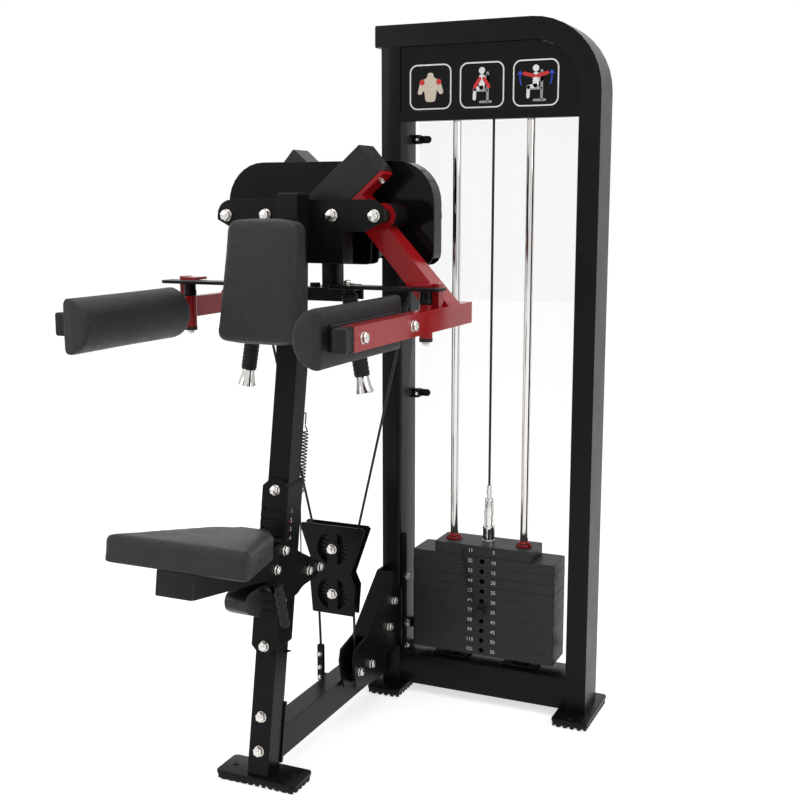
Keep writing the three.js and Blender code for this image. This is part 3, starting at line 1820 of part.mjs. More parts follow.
// Chest pad on its board, leaning with its bracket
const soften = (points, radius, steps = 3) =>
  points.flatMap(([u, v], i) => {
    const [pu, pv] = points[(i + points.length - 1) % points.length];
    const [nu, nv] = points[(i + 1) % points.length];
    const before = Math.hypot(pu - u, pv - v);
    const after = Math.hypot(nu - u, nv - v);
    const reach = Math.min(radius, before / 2.2, after / 2.2);
    const a = [u + ((pu - u) * reach) / before, v + ((pv - v) * reach) / before];
    const b = [u + ((nu - u) * reach) / after, v + ((nv - v) * reach) / after];
    return Array.from({ length: steps + 1 }, (_, k) => {
      const t = k / steps;
      return [0, 1].map((c) => (1 - t) ** 2 * a[c] + 2 * t * (1 - t) * [u, v][c] + t * t * b[c]);
    });
  });
// More points along the long edges, so that the crown bends smoothly
const fill = (points, most) =>
  points.flatMap(([u, v], i) => {
    const [nu, nv] = points[(i + 1) % points.length];
    const pieces = Math.max(1, Math.round(Math.hypot(nu - u, nv - v) / most));
    return Array.from({ length: pieces }, (_, k) => [
      u + ((nu - u) * k) / pieces,
      v + ((nv - v) * k) / pieces,
    ]);
  });
const grown = (points, by) => points.map(([u, v]) => [u * by, v * by]);
const boardShare = 0.86;
const chestHalfHeight = (chestTop - chestBottom) / 2;
const chestOutline = fill(
  soften(
    [
      [-chestBottomHalf, -chestHalfHeight],
      [chestBottomHalf, -chestHalfHeight],
      [chestTopHalf, chestHalfHeight],
      [-chestTopHalf, chestHalfHeight],
    ],
    chestCorner,
  ),
  tubeWidth,
);
const slab = (points, from, to) => extruded(points, to - from).translate(0, 0, from);
const chestFrame = new THREE.Matrix4()
  .makeTranslation(0, chestMiddleFront, chestMiddleZ)
  .multiply(new THREE.Matrix4().makeRotationX(Math.PI / 2 - chestLean))
  .multiply(new THREE.Matrix4().makeTranslation(0, 0, -chestThickness - padCrown));
put(
  "chest_pad",
  vinyl,
  join(
    solid(cushion(chestOutline, chestThickness, padCrown).applyMatrix4(chestFrame)),
    solid(slab(grown(chestOutline, boardShare), -boardThickness, weld).applyMatrix4(chestFrame)),
  ),
);

// Forearm pads: half round, their flat side on a board on the arm's bar
function forearmPad() {
  const originX = forearmFlat - forearmRadius * forearmMiddleShare;
  const half = soften(
    [
      ...arc(forearmFlat - originX, 0, forearmRadius, 270, 90, 11).slice(1, -1),
      [forearmFlat - originX, forearmRadius],
      [forearmFlat - originX, 0],
      [forearmFlat - originX, -forearmRadius],
    ],
    padWaist * 2,
    1,
  );
  const length = forearmFront - forearmBack;
  const frameTo = new THREE.Matrix4()
    .makeTranslation(originX, -forearmBack, forearmMiddle)
    .multiply(new THREE.Matrix4().makeRotationX(Math.PI / 2));
  const board = box(
    forearmFlat - padRound / 2,
    forearmFlat + boardThickness,
    -forearmFront + padRound * 2,
    -forearmBack - padRound * 2,
    forearmMiddle - forearmRadius * boardShare,
    forearmMiddle + forearmRadius * boardShare,
  );
  const pad = cushion(half.reverse(), length - padCrown, padCrown);
  return join(solid(pad.applyMatrix4(frameTo)), board);
}
put("forearm_pad_right", vinyl, forearmPad());
put("forearm_pad_left", vinyl, forearmPad(), leftSide);

// Seat: wide in front, a narrow tongue behind, on a support tube that follows its slope
const seatMiddle = -(seatFront + seatBack) / 2;
const seatHalfLength = (seatFront - seatBack) / 2;
const seatSlope = Math.atan2(seatFrontTop - seatBackTop, seatFront - seatBack);
const seatTopMiddle = (seatFrontTop + seatBackTop) / 2;
const seatNotchX = seatBackHalf - seatNotchWidth;
const seatOutline = fill(
  soften(
    [
      [-seatFrontHalf, -seatHalfLength],
      [seatFrontHalf, -seatHalfLength],
      [seatBackHalf, seatHalfLength - seatNotchDepth],
      [seatNotchX, seatHalfLength - seatNotchDepth / 1.6],
      [seatNotchX, seatHalfLength],
      [-seatNotchX, seatHalfLength],
      [-seatNotchX, seatHalfLength - seatNotchDepth / 1.6],
      [-seatBackHalf, seatHalfLength - seatNotchDepth],
    ],
    seatCorner,
  ),
  tubeWidth,
);
const seatFrame = new THREE.Matrix4()
  .makeTranslation(0, seatMiddle, seatTopMiddle)
  .multiply(new THREE.Matrix4().makeRotationX(-seatSlope))
  .multiply(new THREE.Matrix4().makeTranslation(0, 0, -seatThickness));
put(
  "seat_pad",
  vinyl,
  solid(cushion(seatOutline, seatThickness - padCrown, padCrown).applyMatrix4(seatFrame)),
);

// Carriage: two star-shaped side plates on the rail, the support tube and three cross pins
const sideIn = railHalf + running;
const sideOut = sideIn + sidePlate;
const carriageBox = (share, tall) => [
  -carriageFront + (carriageFront - carriageBack) * share,
  carriageLow + (carriageTop - carriageLow) * tall,
];
const carriageShares = [
  [0, 0.8],
  [0.1, 0.84],
  [0.2, 1],
  [0.36, 1],
  [0.54, 0.74],
  [0.9, 0.4],
  [1, 0.27],
  [0.9, 0.12],
  [0.62, 0.1],
  [0.5, 0],
  [0.34, 0.05],
  [0.1, 0.24],
  [0, 0.42],
];
const carriageOutline = soften(
  carriageShares.map(([share, tall]) => carriageBox(share, tall)),
  plateThickness,
  1,
);
const leverAxle = carriageBox(0.09, 0.42);
const carriageSides = [-1, 1].map((side) =>
  cut(
    alongX(carriageOutline, ...(side < 0 ? [-sideOut, -sideIn] : [sideIn, sideOut])),
    alongX(bore(...leverAxle, axleRadius + running, 12), -sideOut - overrun, sideOut + overrun),
  ),
);
const seatLocal = (y, z) => {
  const spot = new THREE.Vector3(0, y, z).applyMatrix4(seatFrame);
  return [spot.y, spot.z];
};
const supportBack = carriageBox(0.26, 0)[0];
const supportOuter = [
  seatLocal(-supportFront - seatMiddle, -gap),
  seatLocal(supportBack - seatMiddle, -gap),
  seatLocal(supportBack - seatMiddle, -gap - supportHeight),
  seatLocal(-supportFront - seatMiddle, -gap - supportHeight),
];
const supportInner = [
  seatLocal(-supportFront - seatMiddle - overrun, -gap - tubeWall),
  seatLocal(supportBack - seatMiddle - tubeWall, -gap - tubeWall),
  seatLocal(supportBack - seatMiddle - tubeWall, -gap - supportHeight + tubeWall),
  seatLocal(-supportFront - seatMiddle - overrun, -gap - supportHeight + tubeWall),
];
const supportTube = cut(
  alongX(supportOuter, -supportHalf, supportHalf),
  alongX(supportInner, -supportHalf + tubeWall, supportHalf - tubeWall),
);
const pinAcross = ([y, z], radius) => alongX(circle(y, z, radius, 12), -sideIn - weld, sideIn + weld);
const frontPin = offColumn(carriageBox(0, 0.9)[1], railFace - pinKnobRadius - running);
const backPin = offColumn(carriageBox(0, 0.36)[1], halfTube + rackDepth + pinKnobRadius + running);
const hookPin = carriageBox(0.73, 0.27);
put(
  "seat_carriage",
  black,
  join(
    supportTube,
    ...carriageSides,
    pinAcross(frontPin, pinKnobRadius),
    pinAcross(backPin, pinKnobRadius),
    pinAcross(hookPin, axleRadius),
  ),
);

// Lever: a bent strap under the seat and a grip beside the carriage, on one axle
const [leverY, leverZ] = leverAxle;
const leverShares = [
  [0, 0],
  [0.7, 0],
  [0.94, 0.12],
  [1, 0.36],
  [0.88, 0.64],
  [0.35, 1],
];
const leverPath = leverShares.map(([reach, drop]) => [
  leverY - leverReach * reach,
  leverZ - leverDrop * drop,
]);
const leverHalf = sideIn - running - tubeWall;
const gripX = sideOut + gap + leverGripRadius;
const gripWay = new THREE.Vector3(0, leverReach / 2, -leverGripLength).normalize();
const gripSolid = new THREE.CylinderGeometry(leverGripRadius, leverGripRadius, leverGripLength, 16);
gripSolid.applyQuaternion(
  new THREE.Quaternion().setFromUnitVectors(new THREE.Vector3(0, 1, 0), gripWay),
);
gripSolid.translate(
  gripX,
  leverY + (gripWay.y * leverGripLength) / 2,
  leverZ + (gripWay.z * leverGripLength) / 2,
);
put(
  "seat_lever",
  steel,
  join(
    alongX(strip(leverPath, leverPlate), -leverHalf, leverHalf),
    alongX(circle(leverY, leverZ, axleRadius, 12), -sideOut - leverPlate, gripX),
    solid(gripSolid),
  ),
);

// Spring behind the column, from a hook on the column down to the carriage
const springSpot = (z, off = springOffset + halfTube) => {
  const [y, height] = offColumn(z, off);
  return new THREE.Vector3(springX, y, height);
};
const hookTop = springSpot(springHook);
const onColumn = springSpot(springHook, halfTube + gap);
const pinTop = new THREE.Vector3(springX, hookPin[0], hookPin[1] + axleRadius + gap);
const springPoints = wound(
  springSpot(springTop),
  springSpot(springLow),
  springRadius,
  springCurls,
  [
    onColumn,
    onColumn.clone().lerp(hookTop, 0.5),
    hookTop.clone(),
    springSpot(springTop + springRadius),
  ],
  [
    springSpot(springLow - springRadius),
    new THREE.Vector3(springX, hookPin[0], hookPin[1] + tubeWidth),
    pinTop,
  ],
);
console.log("spring's least gap", leastGap(springPoints, springWire, 6).toFixed(2));
put("seat_spring", chrome, wire(springPoints, springWire, 5));

// The origin is the middle of the floor area
const size = new THREE.Box3().setFromObject(station);
const shift = size.getCenter(new THREE.Vector3());
station.position.set(-shift.x, -shift.y, -size.min.z);
console.log("origin moved by", station.position.toArray().map((v) => v.toFixed(3)).join(" "));

export default station;
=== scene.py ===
import json
import math

import bmesh
import bpy
import numpy as np
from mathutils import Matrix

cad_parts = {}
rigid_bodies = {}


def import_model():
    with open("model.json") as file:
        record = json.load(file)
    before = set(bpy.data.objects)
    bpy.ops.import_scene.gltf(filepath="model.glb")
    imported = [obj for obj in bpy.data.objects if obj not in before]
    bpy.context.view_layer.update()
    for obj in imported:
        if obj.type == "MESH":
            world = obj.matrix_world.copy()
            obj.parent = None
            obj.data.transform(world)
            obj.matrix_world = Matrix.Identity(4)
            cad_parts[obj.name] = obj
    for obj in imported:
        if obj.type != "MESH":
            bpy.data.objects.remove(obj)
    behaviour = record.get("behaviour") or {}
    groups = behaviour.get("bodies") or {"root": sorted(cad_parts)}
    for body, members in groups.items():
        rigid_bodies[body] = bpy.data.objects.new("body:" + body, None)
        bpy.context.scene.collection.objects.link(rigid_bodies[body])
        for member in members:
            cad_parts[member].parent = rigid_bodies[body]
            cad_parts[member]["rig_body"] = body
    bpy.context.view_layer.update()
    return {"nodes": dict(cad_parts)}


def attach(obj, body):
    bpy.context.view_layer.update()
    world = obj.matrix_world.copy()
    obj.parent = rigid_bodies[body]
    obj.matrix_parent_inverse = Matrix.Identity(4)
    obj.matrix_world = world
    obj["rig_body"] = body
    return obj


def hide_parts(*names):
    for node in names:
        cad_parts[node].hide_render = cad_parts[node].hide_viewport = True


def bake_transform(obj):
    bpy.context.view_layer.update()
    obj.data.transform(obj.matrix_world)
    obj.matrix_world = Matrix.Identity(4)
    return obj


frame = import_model()
nodes = frame["nodes"]
print("frame loaded:", len(nodes), "nodes")

# Every place below is in millimetres from the middle of the seat column and the front of the tower.
stationOrigin = np.array([-120.406, 364.686, 0.0])


def toFrame(points):
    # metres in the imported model's frame: (point + origin) / 1000
    return (np.asarray(points, float) + stationOrigin) / 1000


def srgb(text):
    # hex sRGB to linear: c / 12.92 below 0.04045, else ((c + 0.055) / 1.055) ^ 2.4
    values = np.array([int(text[i:i + 2], 16) / 255 for i in (1, 3, 5)])
    linear = np.where(values <= 0.04045, values / 12.92, ((values + 0.055) / 1.055) ** 2.4)
    return (*linear.tolist(), 1.0)


def newObject(name, data):
    made = bpy.data.objects.new(name, data)
    bpy.context.scene.collection.objects.link(made)
    return made


def evaluated(holder):
    return holder.evaluated_get(bpy.context.evaluated_depsgraph_get())


def addNode(tree, kind, inputs=None, **settings):
    node = tree.nodes.new("ShaderNode" + kind)
    for key, value in settings.items():
        setattr(node, key, value)
    for key, value in (inputs or {}).items():
        if isinstance(value, bpy.types.NodeSocket):
            tree.links.new(value, node.inputs[key])
        else:
            node.inputs[key].default_value = value
    return node


def shownRays(tree):
    # 1 for the camera's, glossy and transmission rays, and 0 for the light that fills the scene
    rays = addNode(tree, "LightPath").outputs
    shown = rays["Is Camera Ray"]
    for kind in ("Is Glossy Ray", "Is Transmission Ray"):
        shown = addNode(tree, "Math", {0: shown, 1: rays[kind]}, operation="MAXIMUM").outputs[0]
    return shown


# Camera at the photograph's angle
cameraLook = {"place": (1.1251, -2.267314, 1.233), "turn": (80.523, 0.0, 23.971), "lens": 53.42}
camera = newObject("camera", bpy.data.cameras.new("camera"))
camera.location = cameraLook["place"]
camera.rotation_euler = [math.radians(a) for a in cameraLook["turn"]]
camera.data.lens = cameraLook["lens"]
camera.data.sensor_width = 36
camera.data.clip_end = 60
bpy.context.scene.camera = camera
bpy.context.scene.view_settings.view_transform = "Standard"

# Studio: a white surround, three soft lamps and a pale floor
studio = {
    "fill": 0.42,
    "floor": "#f1f1f0",
    "floorHelp": 0.63,
    "lamps": {
        "top": {"place": (0.2, -0.4, 3.3), "aim": (0.0, 0.0, 0.6), "size": 2.4, "power": 34},
        "right": {"place": (3.1, -0.9, 1.9), "aim": (0.1, 0.1, 0.9), "size": 1.8, "power": 30},
        "left": {"place": (-2.5, -2.6, 2.3), "aim": (-0.1, -0.1, 0.8), "size": 1.6, "power": 26},
    },
}
world = bpy.data.worlds.new("studio")
world.use_nodes = True
bpy.context.scene.world = world
tree = world.node_tree
tree.nodes.clear()
dim = addNode(tree, "Background", {"Color": (1, 1, 1, 1), "Strength": studio["fill"]})
white = addNode(tree, "Background", {"Color": (1, 1, 1, 1), "Strength": 1.0})
mixed = addNode(tree, "MixShader", {0: shownRays(tree), 1: dim.outputs[0], 2: white.outputs[0]})
addNode(tree, "OutputWorld", {"Surface": mixed.outputs[0]})
for lampName, lamp in studio["lamps"].items():
    light = bpy.data.lights.new(lampName + "Lamp", "AREA")
    light.shape = "SQUARE"
    light.size = lamp["size"]
    light.energy = lamp["power"]
    holder = newObject(lampName + "Lamp", light)
    holder.location = lamp["place"]
    way = np.array(lamp["aim"]) - np.array(lamp["place"])
    holder.rotation_euler = (
        math.atan2(math.hypot(way[0], way[1]), -way[2]), 0, math.atan2(way[1], way[0]) - math.pi / 2)


# A material is a Principled shader whose colour, roughness and bump come from two patterns on
# Object coordinates: a broad mottle and a fine grain, both sized in millimetres.
# What a finish doesn't name
plainLook = {"grain": "noise", "stretch": (1, 1, 1), "waviness": 0.15, "metallic": 0.0, "specular": 0.5, "coat": 0.0,
             "coatRoughness": 0.1, "alpha": 1.0}


def makeMaterial(name, look):
    look = {**plainLook, **look}
    material = bpy.data.materials.new(name)
    material.use_nodes = True
    tree = material.node_tree
    tree.nodes.clear()
    spot = addNode(tree, "TexCoord").outputs["Object"]
    spot = addNode(tree, "Mapping", {"Vector": spot, "Scale": look["stretch"]}).outputs[0]
    mottle = addNode(tree, "TexNoise", {
        "Vector": spot, "Scale": 1000 / look["mottle"], "Detail": 4.0, "Roughness": 0.6}).outputs["Fac"]
    if look["grain"] == "cells":
        cells = addNode(tree, "TexVoronoi", {
            "Vector": spot, "Scale": 1000 / look["grainSize"], "Randomness": 1.0}, feature="DISTANCE_TO_EDGE")
        grain = addNode(tree, "MapRange", {"Value": cells.outputs["Distance"], "From Max": 0.22}).outputs[0]
    elif look["grain"] == "rows":
        grain = addNode(tree, "TexWave", {
            "Vector": spot, "Scale": 314 / look["grainSize"], "Distortion": look["bend"],
            "Detail": 2.0}, bands_direction=look["rows"]).outputs["Fac"]
    else:
        grain = addNode(tree, "TexNoise", {
            "Vector": spot, "Scale": 1000 / look["grainSize"], "Detail": 3.0, "Roughness": 0.55}).outputs["Fac"]
    spread = addNode(tree, "MapRange", {"Value": mottle, "From Min": 0.3, "From Max": 0.7}).outputs[0]
    base = addNode(tree, "Mix", {0: spread, 6: srgb(look["colour"]), 7: srgb(look["second"])},
                   data_type="RGBA").outputs[2]
    pits = addNode(tree, "Math", {0: grain, 1: look["pits"]}, operation="MULTIPLY").outputs[0]
    shade = addNode(tree, "Math", {0: 1.0, 1: pits}, operation="SUBTRACT").outputs[0]
    base = addNode(tree, "Mix", {0: 1.0, 6: base, 7: shade}, data_type="RGBA", blend_type="MULTIPLY").outputs[2]
    low, high = look["roughness"]
    both = addNode(tree, "Math", {0: spread, 1: grain}, operation="MULTIPLY").outputs[0]
    rough = addNode(tree, "MapRange", {"Value": both, "To Min": low, "To Max": high}).outputs[0]
    height = addNode(tree, "Math", {0: mottle, 1: look["waviness"], 2: grain},
                     operation="MULTIPLY_ADD").outputs[0]
    bump = addNode(tree, "Bump", {
        "Height": height, "Strength": look["relief"], "Distance": look["depth"] / 1000}).outputs[0]
    shader = addNode(tree, "BsdfPrincipled", {
        "Base Color": base, "Roughness": rough, "Normal": bump,
        "Metallic": look["metallic"], "Specular IOR Level": look["specular"], "Alpha": look["alpha"],
        "Coat Weight": look["coat"], "Coat Roughness": look["coatRoughness"]})
    addNode(tree, "OutputMaterial", {"Surface": shader.outputs[0]})
    return material


finishes = {
    # powder-coated steel: satin black with an orange-peel skin that softens the highlights
    "powderCoat": {"slot": "frame_black", "colour": "#121213", "second": "#171718", "mottle": 60,
        "grainSize": 4, "relief": 0.045, "depth": 0.2, "pits": 0.1,
        "roughness": (0.26, 0.38), "specular": 0.1},
    # gloss enamel on sheet steel: deep black that mirrors the surround
    "blackEnamel": {"slot": "panel_gloss", "colour": "#0b0b0c", "second": "#0f0f10", "mottle": 90,
        "grainSize": 7, "relief": 0.04, "depth": 0.2, "pits": 0.05,
        "roughness": (0.08, 0.18), "specular": 0.13},
    # the weights' thick enamel: a little greyer, over a ground iron face; on the rail's ribs the same greyer colour is
    # a painted highlight standing in for the light on their edges
    "weightEnamelAndRibHighlight": {"slot": "frame_black", "colour": "#1b1b1c", "second": "#222223", "mottle": 50,
        "grainSize": 5, "relief": 0.12, "depth": 0.25, "pits": 0.1,
        "roughness": (0.26, 0.42), "specular": 0.22},
    # candy-red enamel under a clear coat: washed highlights and bright edges
    "redEnamel": {"slot": "arm_red", "colour": "#9c1418", "second": "#a6181c", "mottle": 70,
        "grainSize": 5, "relief": 0.04, "depth": 0.2, "pits": 0.08,
        "roughness": (0.12, 0.24), "specular": 0.18, "coat": 0.1, "coatRoughness": 0.05},
    # cast rubber: dull and slightly chalky
    "castRubber": {"slot": "rubber_black", "colour": "#131313", "second": "#1b1b1b", "mottle": 12,
        "grainSize": 3, "relief": 0.4, "depth": 0.4, "pits": 0.2,
        "roughness": (0.55, 0.8), "specular": 0.18},
    # vinyl leather over foam: small pebbles, drawn 4.5 mm wide so that they show
    "padVinyl": {"slot": "pad_vinyl", "colour": "#171717", "second": "#1c1c1c", "mottle": 45,
        "grain": "cells", "grainSize": 4.5, "relief": 0.9, "depth": 0.5, "pits": -0.55,
        "roughness": (0.4, 0.58), "specular": 0.3},
    # matt black: painted shade on the bottoms of the rail's slots, and the matt black lacquer of the strip inside the
    # post
    "mattBlack": {"slot": "frame_black", "colour": "#070707", "second": "#0a0a0a", "mottle": 20,
        "grainSize": 3, "relief": 0.1, "depth": 0.1, "pits": 0.1,
        "roughness": (0.7, 0.9), "specular": 0.03},
    # hard chrome on ground steel: mirror with faint lengthwise streaks
    "hardChrome": {"slot": "chrome", "colour": "#d9d6d3", "second": "#c9c7c6", "mottle": 40,
        "grainSize": 2.5, "stretch": (1, 1, 0.05), "relief": 0.03,
        "depth": 0.1, "pits": 0.05, "roughness": (0.07, 0.16), "metallic": 1.0},
    # zinc-plated steel: bright, slightly cloudy fasteners
    "zincPlate": {"slot": "chrome", "colour": "#e3e0da", "second": "#cfccc7", "mottle": 9,
        "grainSize": 1.6, "relief": 0.12, "depth": 0.15, "pits": 0.1,
        "roughness": (0.16, 0.34), "metallic": 1.0},
    # painted cast iron: dark grey with a shallow cast skin
    "paintedIron": {"slot": "stack_iron", "colour": "#232324", "second": "#2a2a2b", "mottle": 38,
        "grainSize": 3.2, "relief": 0.25, "depth": 0.3, "pits": 0.16,
        "roughness": (0.4, 0.58), "specular": 0.25},
    # moulded nylon: even satin black
    "mouldedNylon": {"slot": "nylon_black", "colour": "#131314", "second": "#19191a", "mottle": 30,
        "grainSize": 2.5, "relief": 0.12, "depth": 0.15, "pits": 0.08,
        "roughness": (0.34, 0.5), "specular": 0.22},
    # nylon jacket over steel wire: the strands show as slanted rows
    "cableJacket": {"slot": "cable_black", "colour": "#0e0e0f", "second": "#151515", "mottle": 14,
        "grain": "rows", "rows": "DIAGONAL", "grainSize": 5, "bend": 0.0, "relief": 0.3,
        "depth": 0.3, "pits": 0.2, "roughness": (0.3, 0.45), "specular": 0.25},
    # blackened spring and lever steel: dark with a dull metal sheen
    "darkSteel": {"slot": "lever_steel", "colour": "#3a3b3c", "second": "#2c2d2e", "mottle": 16,
        "grainSize": 2, "relief": 0.12, "depth": 0.15, "pits": 0.15,
        "roughness": (0.32, 0.5), "metallic": 0.7, "specular": 0.3},
    # knurled grip rubber: raised lozenges 3 mm apart
    "gripRubber": {"slot": "rubber_black", "colour": "#141414", "second": "#1b1b1b", "mottle": 20,
        "grain": "cells", "grainSize": 3, "relief": 0.5, "depth": 0.5, "pits": -0.2,
        "roughness": (0.5, 0.7), "specular": 0.22},
    # cast acrylic sheet: nearly invisible, seen by its reflections
    "clearAcrylic": {"slot": "clear_sheet", "colour": "#f7f9fa", "second": "#f1f5f6", "mottle": 120,
        "grainSize": 30, "relief": 0.02, "depth": 0.1, "pits": 0.02,
        "roughness": (0.04, 0.08), "specular": 0.4, "alpha": 0.06},
    # seamless studio paper
    "paper": {"colour": studio["floor"], "second": studio["floor"], "mottle": 500,
        "grainSize": 6, "relief": 0.02, "depth": 0.1, "pits": 0.01, "roughness": (0.8, 0.9)},
}
# silk-screen inks of the scales and signs: colour, second colour and the mottle's size
inks = {
    "whiteInk": ("#ececea", "#e0e0de", 6), "skinInk": ("#d8ccb9", "#cbbda8", 9), "greyInk": ("#9fa0a1", "#8f9091", 6),
    "redInk": ("#cf1d1d", "#bd1919", 6), "blueInk": ("#2746c8", "#2140b8", 6),
}
for ink, (colour, second, mottle) in inks.items():
    finishes[ink] = {"colour": colour, "second": second, "mottle": mottle, "grainSize": 2, "relief": 0.1,
                     "depth": 0.1, "pits": 0.05, "roughness": (0.4, 0.6)}
materials = {name: makeMaterial(name, look) for name, look in finishes.items()}
print("materials made:", len(materials))


# Shapes: a shape is (points, faces), its points in millimetres

def merged(*shapes):
    points = []
    faces = []
    count = 0
    for shapePoints, shapeFaces in shapes:
        points.append(np.asarray(shapePoints, float).reshape(-1, 3))
        faces += [[i + count for i in face] for face in shapeFaces]
        count += len(points[-1])
    return np.concatenate(points), faces


def gridShape(rings, looped=False):
    # rings[i, j] is joined to its neighbours by quads, j closing on itself; the ends are capped or joined
    rows, columns = rings.shape[:2]
    span = rows if looped else rows - 1
    r, c = np.meshgrid(np.arange(span), np.arange(columns), indexing="ij")
    following = (c + 1) % columns
    below = (r + 1) % rows
    quads = np.stack([r * columns + c, r * columns + following, below * columns + following,
                      below * columns + c], axis=-1)
    faces = quads.reshape(-1, 4).tolist()
    if not looped:
        faces.append(list(range(columns))[::-1])
        faces.append(list(range((rows - 1) * columns, rows * columns)))
    return rings.reshape(-1, 3), faces


def unit(vectors):
    return vectors / np.maximum(np.linalg.norm(vectors, axis=-1, keepdims=True), 1e-12)


def polar(radius, angles):
    return radius * np.stack([np.cos(angles), np.sin(angles)], -1)


def lengthAlong(points):
    return np.concatenate([[0], np.cumsum(np.linalg.norm(np.diff(points, axis=0), axis=1))])


def anticlockwise(outline):
    return np.sum(outline[:, 0] * np.roll(outline[:, 1], -1) - outline[:, 1] * np.roll(outline[:, 0], -1)) > 0


def insetLine(outline, inset):
    # each corner moves along the sum of its two edges' normals, far enough for both edges to move by inset
    before = unit(outline - np.roll(outline, 1, axis=0))
    after = unit(np.roll(outline, -1, axis=0) - outline)
    turn = 1 if anticlockwise(outline) else -1
    normal = unit(turn * np.stack([-(before + after)[:, 1], (before + after)[:, 0]], axis=1))
    square = turn * np.stack([-before[:, 1], before[:, 0]], axis=1)
    reach = inset / np.maximum(np.sum(normal * square, axis=1), 0.35)
    return outline + normal * reach[:, None]


def laid(flat, height, axis):
    # an outline (u, v) at a height: along x it is (h, u, v), along y (u, h, v), along z (u, v, h)
    level = np.full(len(flat), height)
    u, v = flat[:, 0], flat[:, 1]
    return {"x": np.stack([level, u, v], 1), "y": np.stack([u, level, v], 1), "z": np.stack([u, v, level], 1)}[axis]


def prism(outline, low, high, axis="z", edge=1.0):
    # an outline carried from low to high, its rims rounded by a quarter circle of radius edge
    outline = np.asarray(outline, float)
    edge = min(edge, (high - low) / 2.01)
    angles = np.linspace(0, math.pi / 2, 4)
    rise = [(edge * (1 - math.sin(a)), low + edge * (1 - math.cos(a))) for a in angles]
    fall = [(inset, low + high - h) for inset, h in reversed(rise)]
    rings = np.stack([laid(insetLine(outline, inset), h, axis) for inset, h in rise + fall])
    return gridShape(rings)


def roundedBox(u0, u1, v0, v1, radius, steps=5):
    # a rectangle with quarter circles at its corners
    angles = np.radians(np.linspace(0, 90, steps + 1))
    corners = [(u1 - radius, v1 - radius, 0), (u0 + radius, v1 - radius, 90),
               (u0 + radius, v0 + radius, 180), (u1 - radius, v0 + radius, 270)]
    return np.concatenate([polar(radius, angles + math.radians(a)) + (u, v) for u, v, a in corners])


def slab(u0, u1, v0, v1, radius, low, high, axis, edge):
    # a rounded rectangle carried from low to high
    return prism(roundedBox(u0, u1, v0, v1, radius), low, high, axis, edge)


def circle(u, v, radius):
    return polar(radius, np.linspace(0, 2 * math.pi, 40, endpoint=False)) + (u, v)


def lathe(profile, steps=48, looped=False):
    # a profile (r, h) turned round z
    profile = np.asarray(profile, float)
    angles = np.linspace(0, 2 * math.pi, steps, endpoint=False)
    rings = np.stack([
        np.outer(profile[:, 0], np.cos(angles)), np.outer(profile[:, 0], np.sin(angles)),
        np.repeat(profile[:, 1:2], steps, axis=1)], axis=-1)
    return gridShape(rings, looped)


def turned(shape, origin, way):
    # the shape's z axis is laid along way and its origin moved
    way = unit(np.asarray(way, float))
    helper = np.array([1.0, 0, 0]) if abs(way[0]) < 0.9 else np.array([0, 1.0, 0])
    across = unit(np.cross(helper, way))
    third = np.cross(way, across)
    points = shape[0] @ np.stack([across, third, way]) + np.asarray(origin, float)
    return points, shape[1]


def upright(x, y, profile, steps=48, looped=False):
    # a profile turned round the upright line through (x, y)
    return turned(lathe(profile, steps, looped), (x, y, 0), (0, 0, 1))


def onSide(side, shape):
    # what is on the left is the mirror image of what is on the right
    if side == "right":
        return shape
    return shape[0] * np.array([-1.0, 1, 1]), [face[::-1] for face in shape[1]]


def carried(path, radius, sides, way, first):
    # a circle carried along a path that heads along way, starting on its first axis
    second = np.cross(way, first)
    angles = np.linspace(0, 2 * math.pi, sides, endpoint=False)
    spread = first[:, None] * np.cos(angles)[None, :, None] + second[:, None] * np.sin(angles)[None, :, None]
    return gridShape(path[:, None] + radius * spread)


def tube(path, radius, reference):
    # its first axis is the reference less its part along the path
    way = unit(np.gradient(path, axis=0))
    reference = np.asarray(reference, float)
    return carried(path, radius, 12, way, unit(reference - way * (way @ reference)[:, None]))


def softened(points, radius, steps=8):
    # each corner becomes a quadratic curve that starts and ends radius away from it
    points = np.asarray(points, float)
    before = np.roll(points, 1, axis=0) - points
    after = np.roll(points, -1, axis=0) - points
    lengthBefore = np.linalg.norm(before, axis=1)
    lengthAfter = np.linalg.norm(after, axis=1)
    reach = np.minimum(np.minimum(lengthBefore, lengthAfter) / 2.2, radius)
    a = points + before * (reach / lengthBefore)[:, None]
    b = points + after * (reach / lengthAfter)[:, None]
    t = np.linspace(0, 1, steps + 1)[None, :, None]
    curve = (1 - t) ** 2 * a[:, None] + 2 * t * (1 - t) * points[:, None] + t ** 2 * b[:, None]
    return curve.reshape(-1, 2)


def evenly(outline, spacing):
    # the closed outline walked in equal steps
    closed = np.concatenate([outline, outline[:1]])
    along = lengthAlong(closed)
    spots = np.linspace(0, along[-1], max(12, round(along[-1] / spacing)), endpoint=False)
    return np.stack([np.interp(spots, along, closed[:, k]) for k in range(2)], 1)


def newMesh(name, points, faces):
    mesh = bpy.data.meshes.new(name)
    mesh.from_pydata(points.tolist(), [], faces)
    return mesh


def readVectors(elements, key):
    # one vector of every vertex or face, as rows of three
    values = np.zeros(len(elements) * 3)
    elements.foreach_get(key, values)
    return values.reshape(-1, 3)


def addPiece(name, shape, finish, body, stands=(), sharp=34):
    mesh = newMesh(name, toFrame(shape[0]), shape[1])
    work = bmesh.new()
    work.from_mesh(mesh)
    bmesh.ops.remove_doubles(work, verts=work.verts, dist=1e-6)
    bmesh.ops.recalc_face_normals(work, faces=work.faces)
    work.to_mesh(mesh)
    work.free()
    return settled(name, mesh, finish, body, stands, sharp)


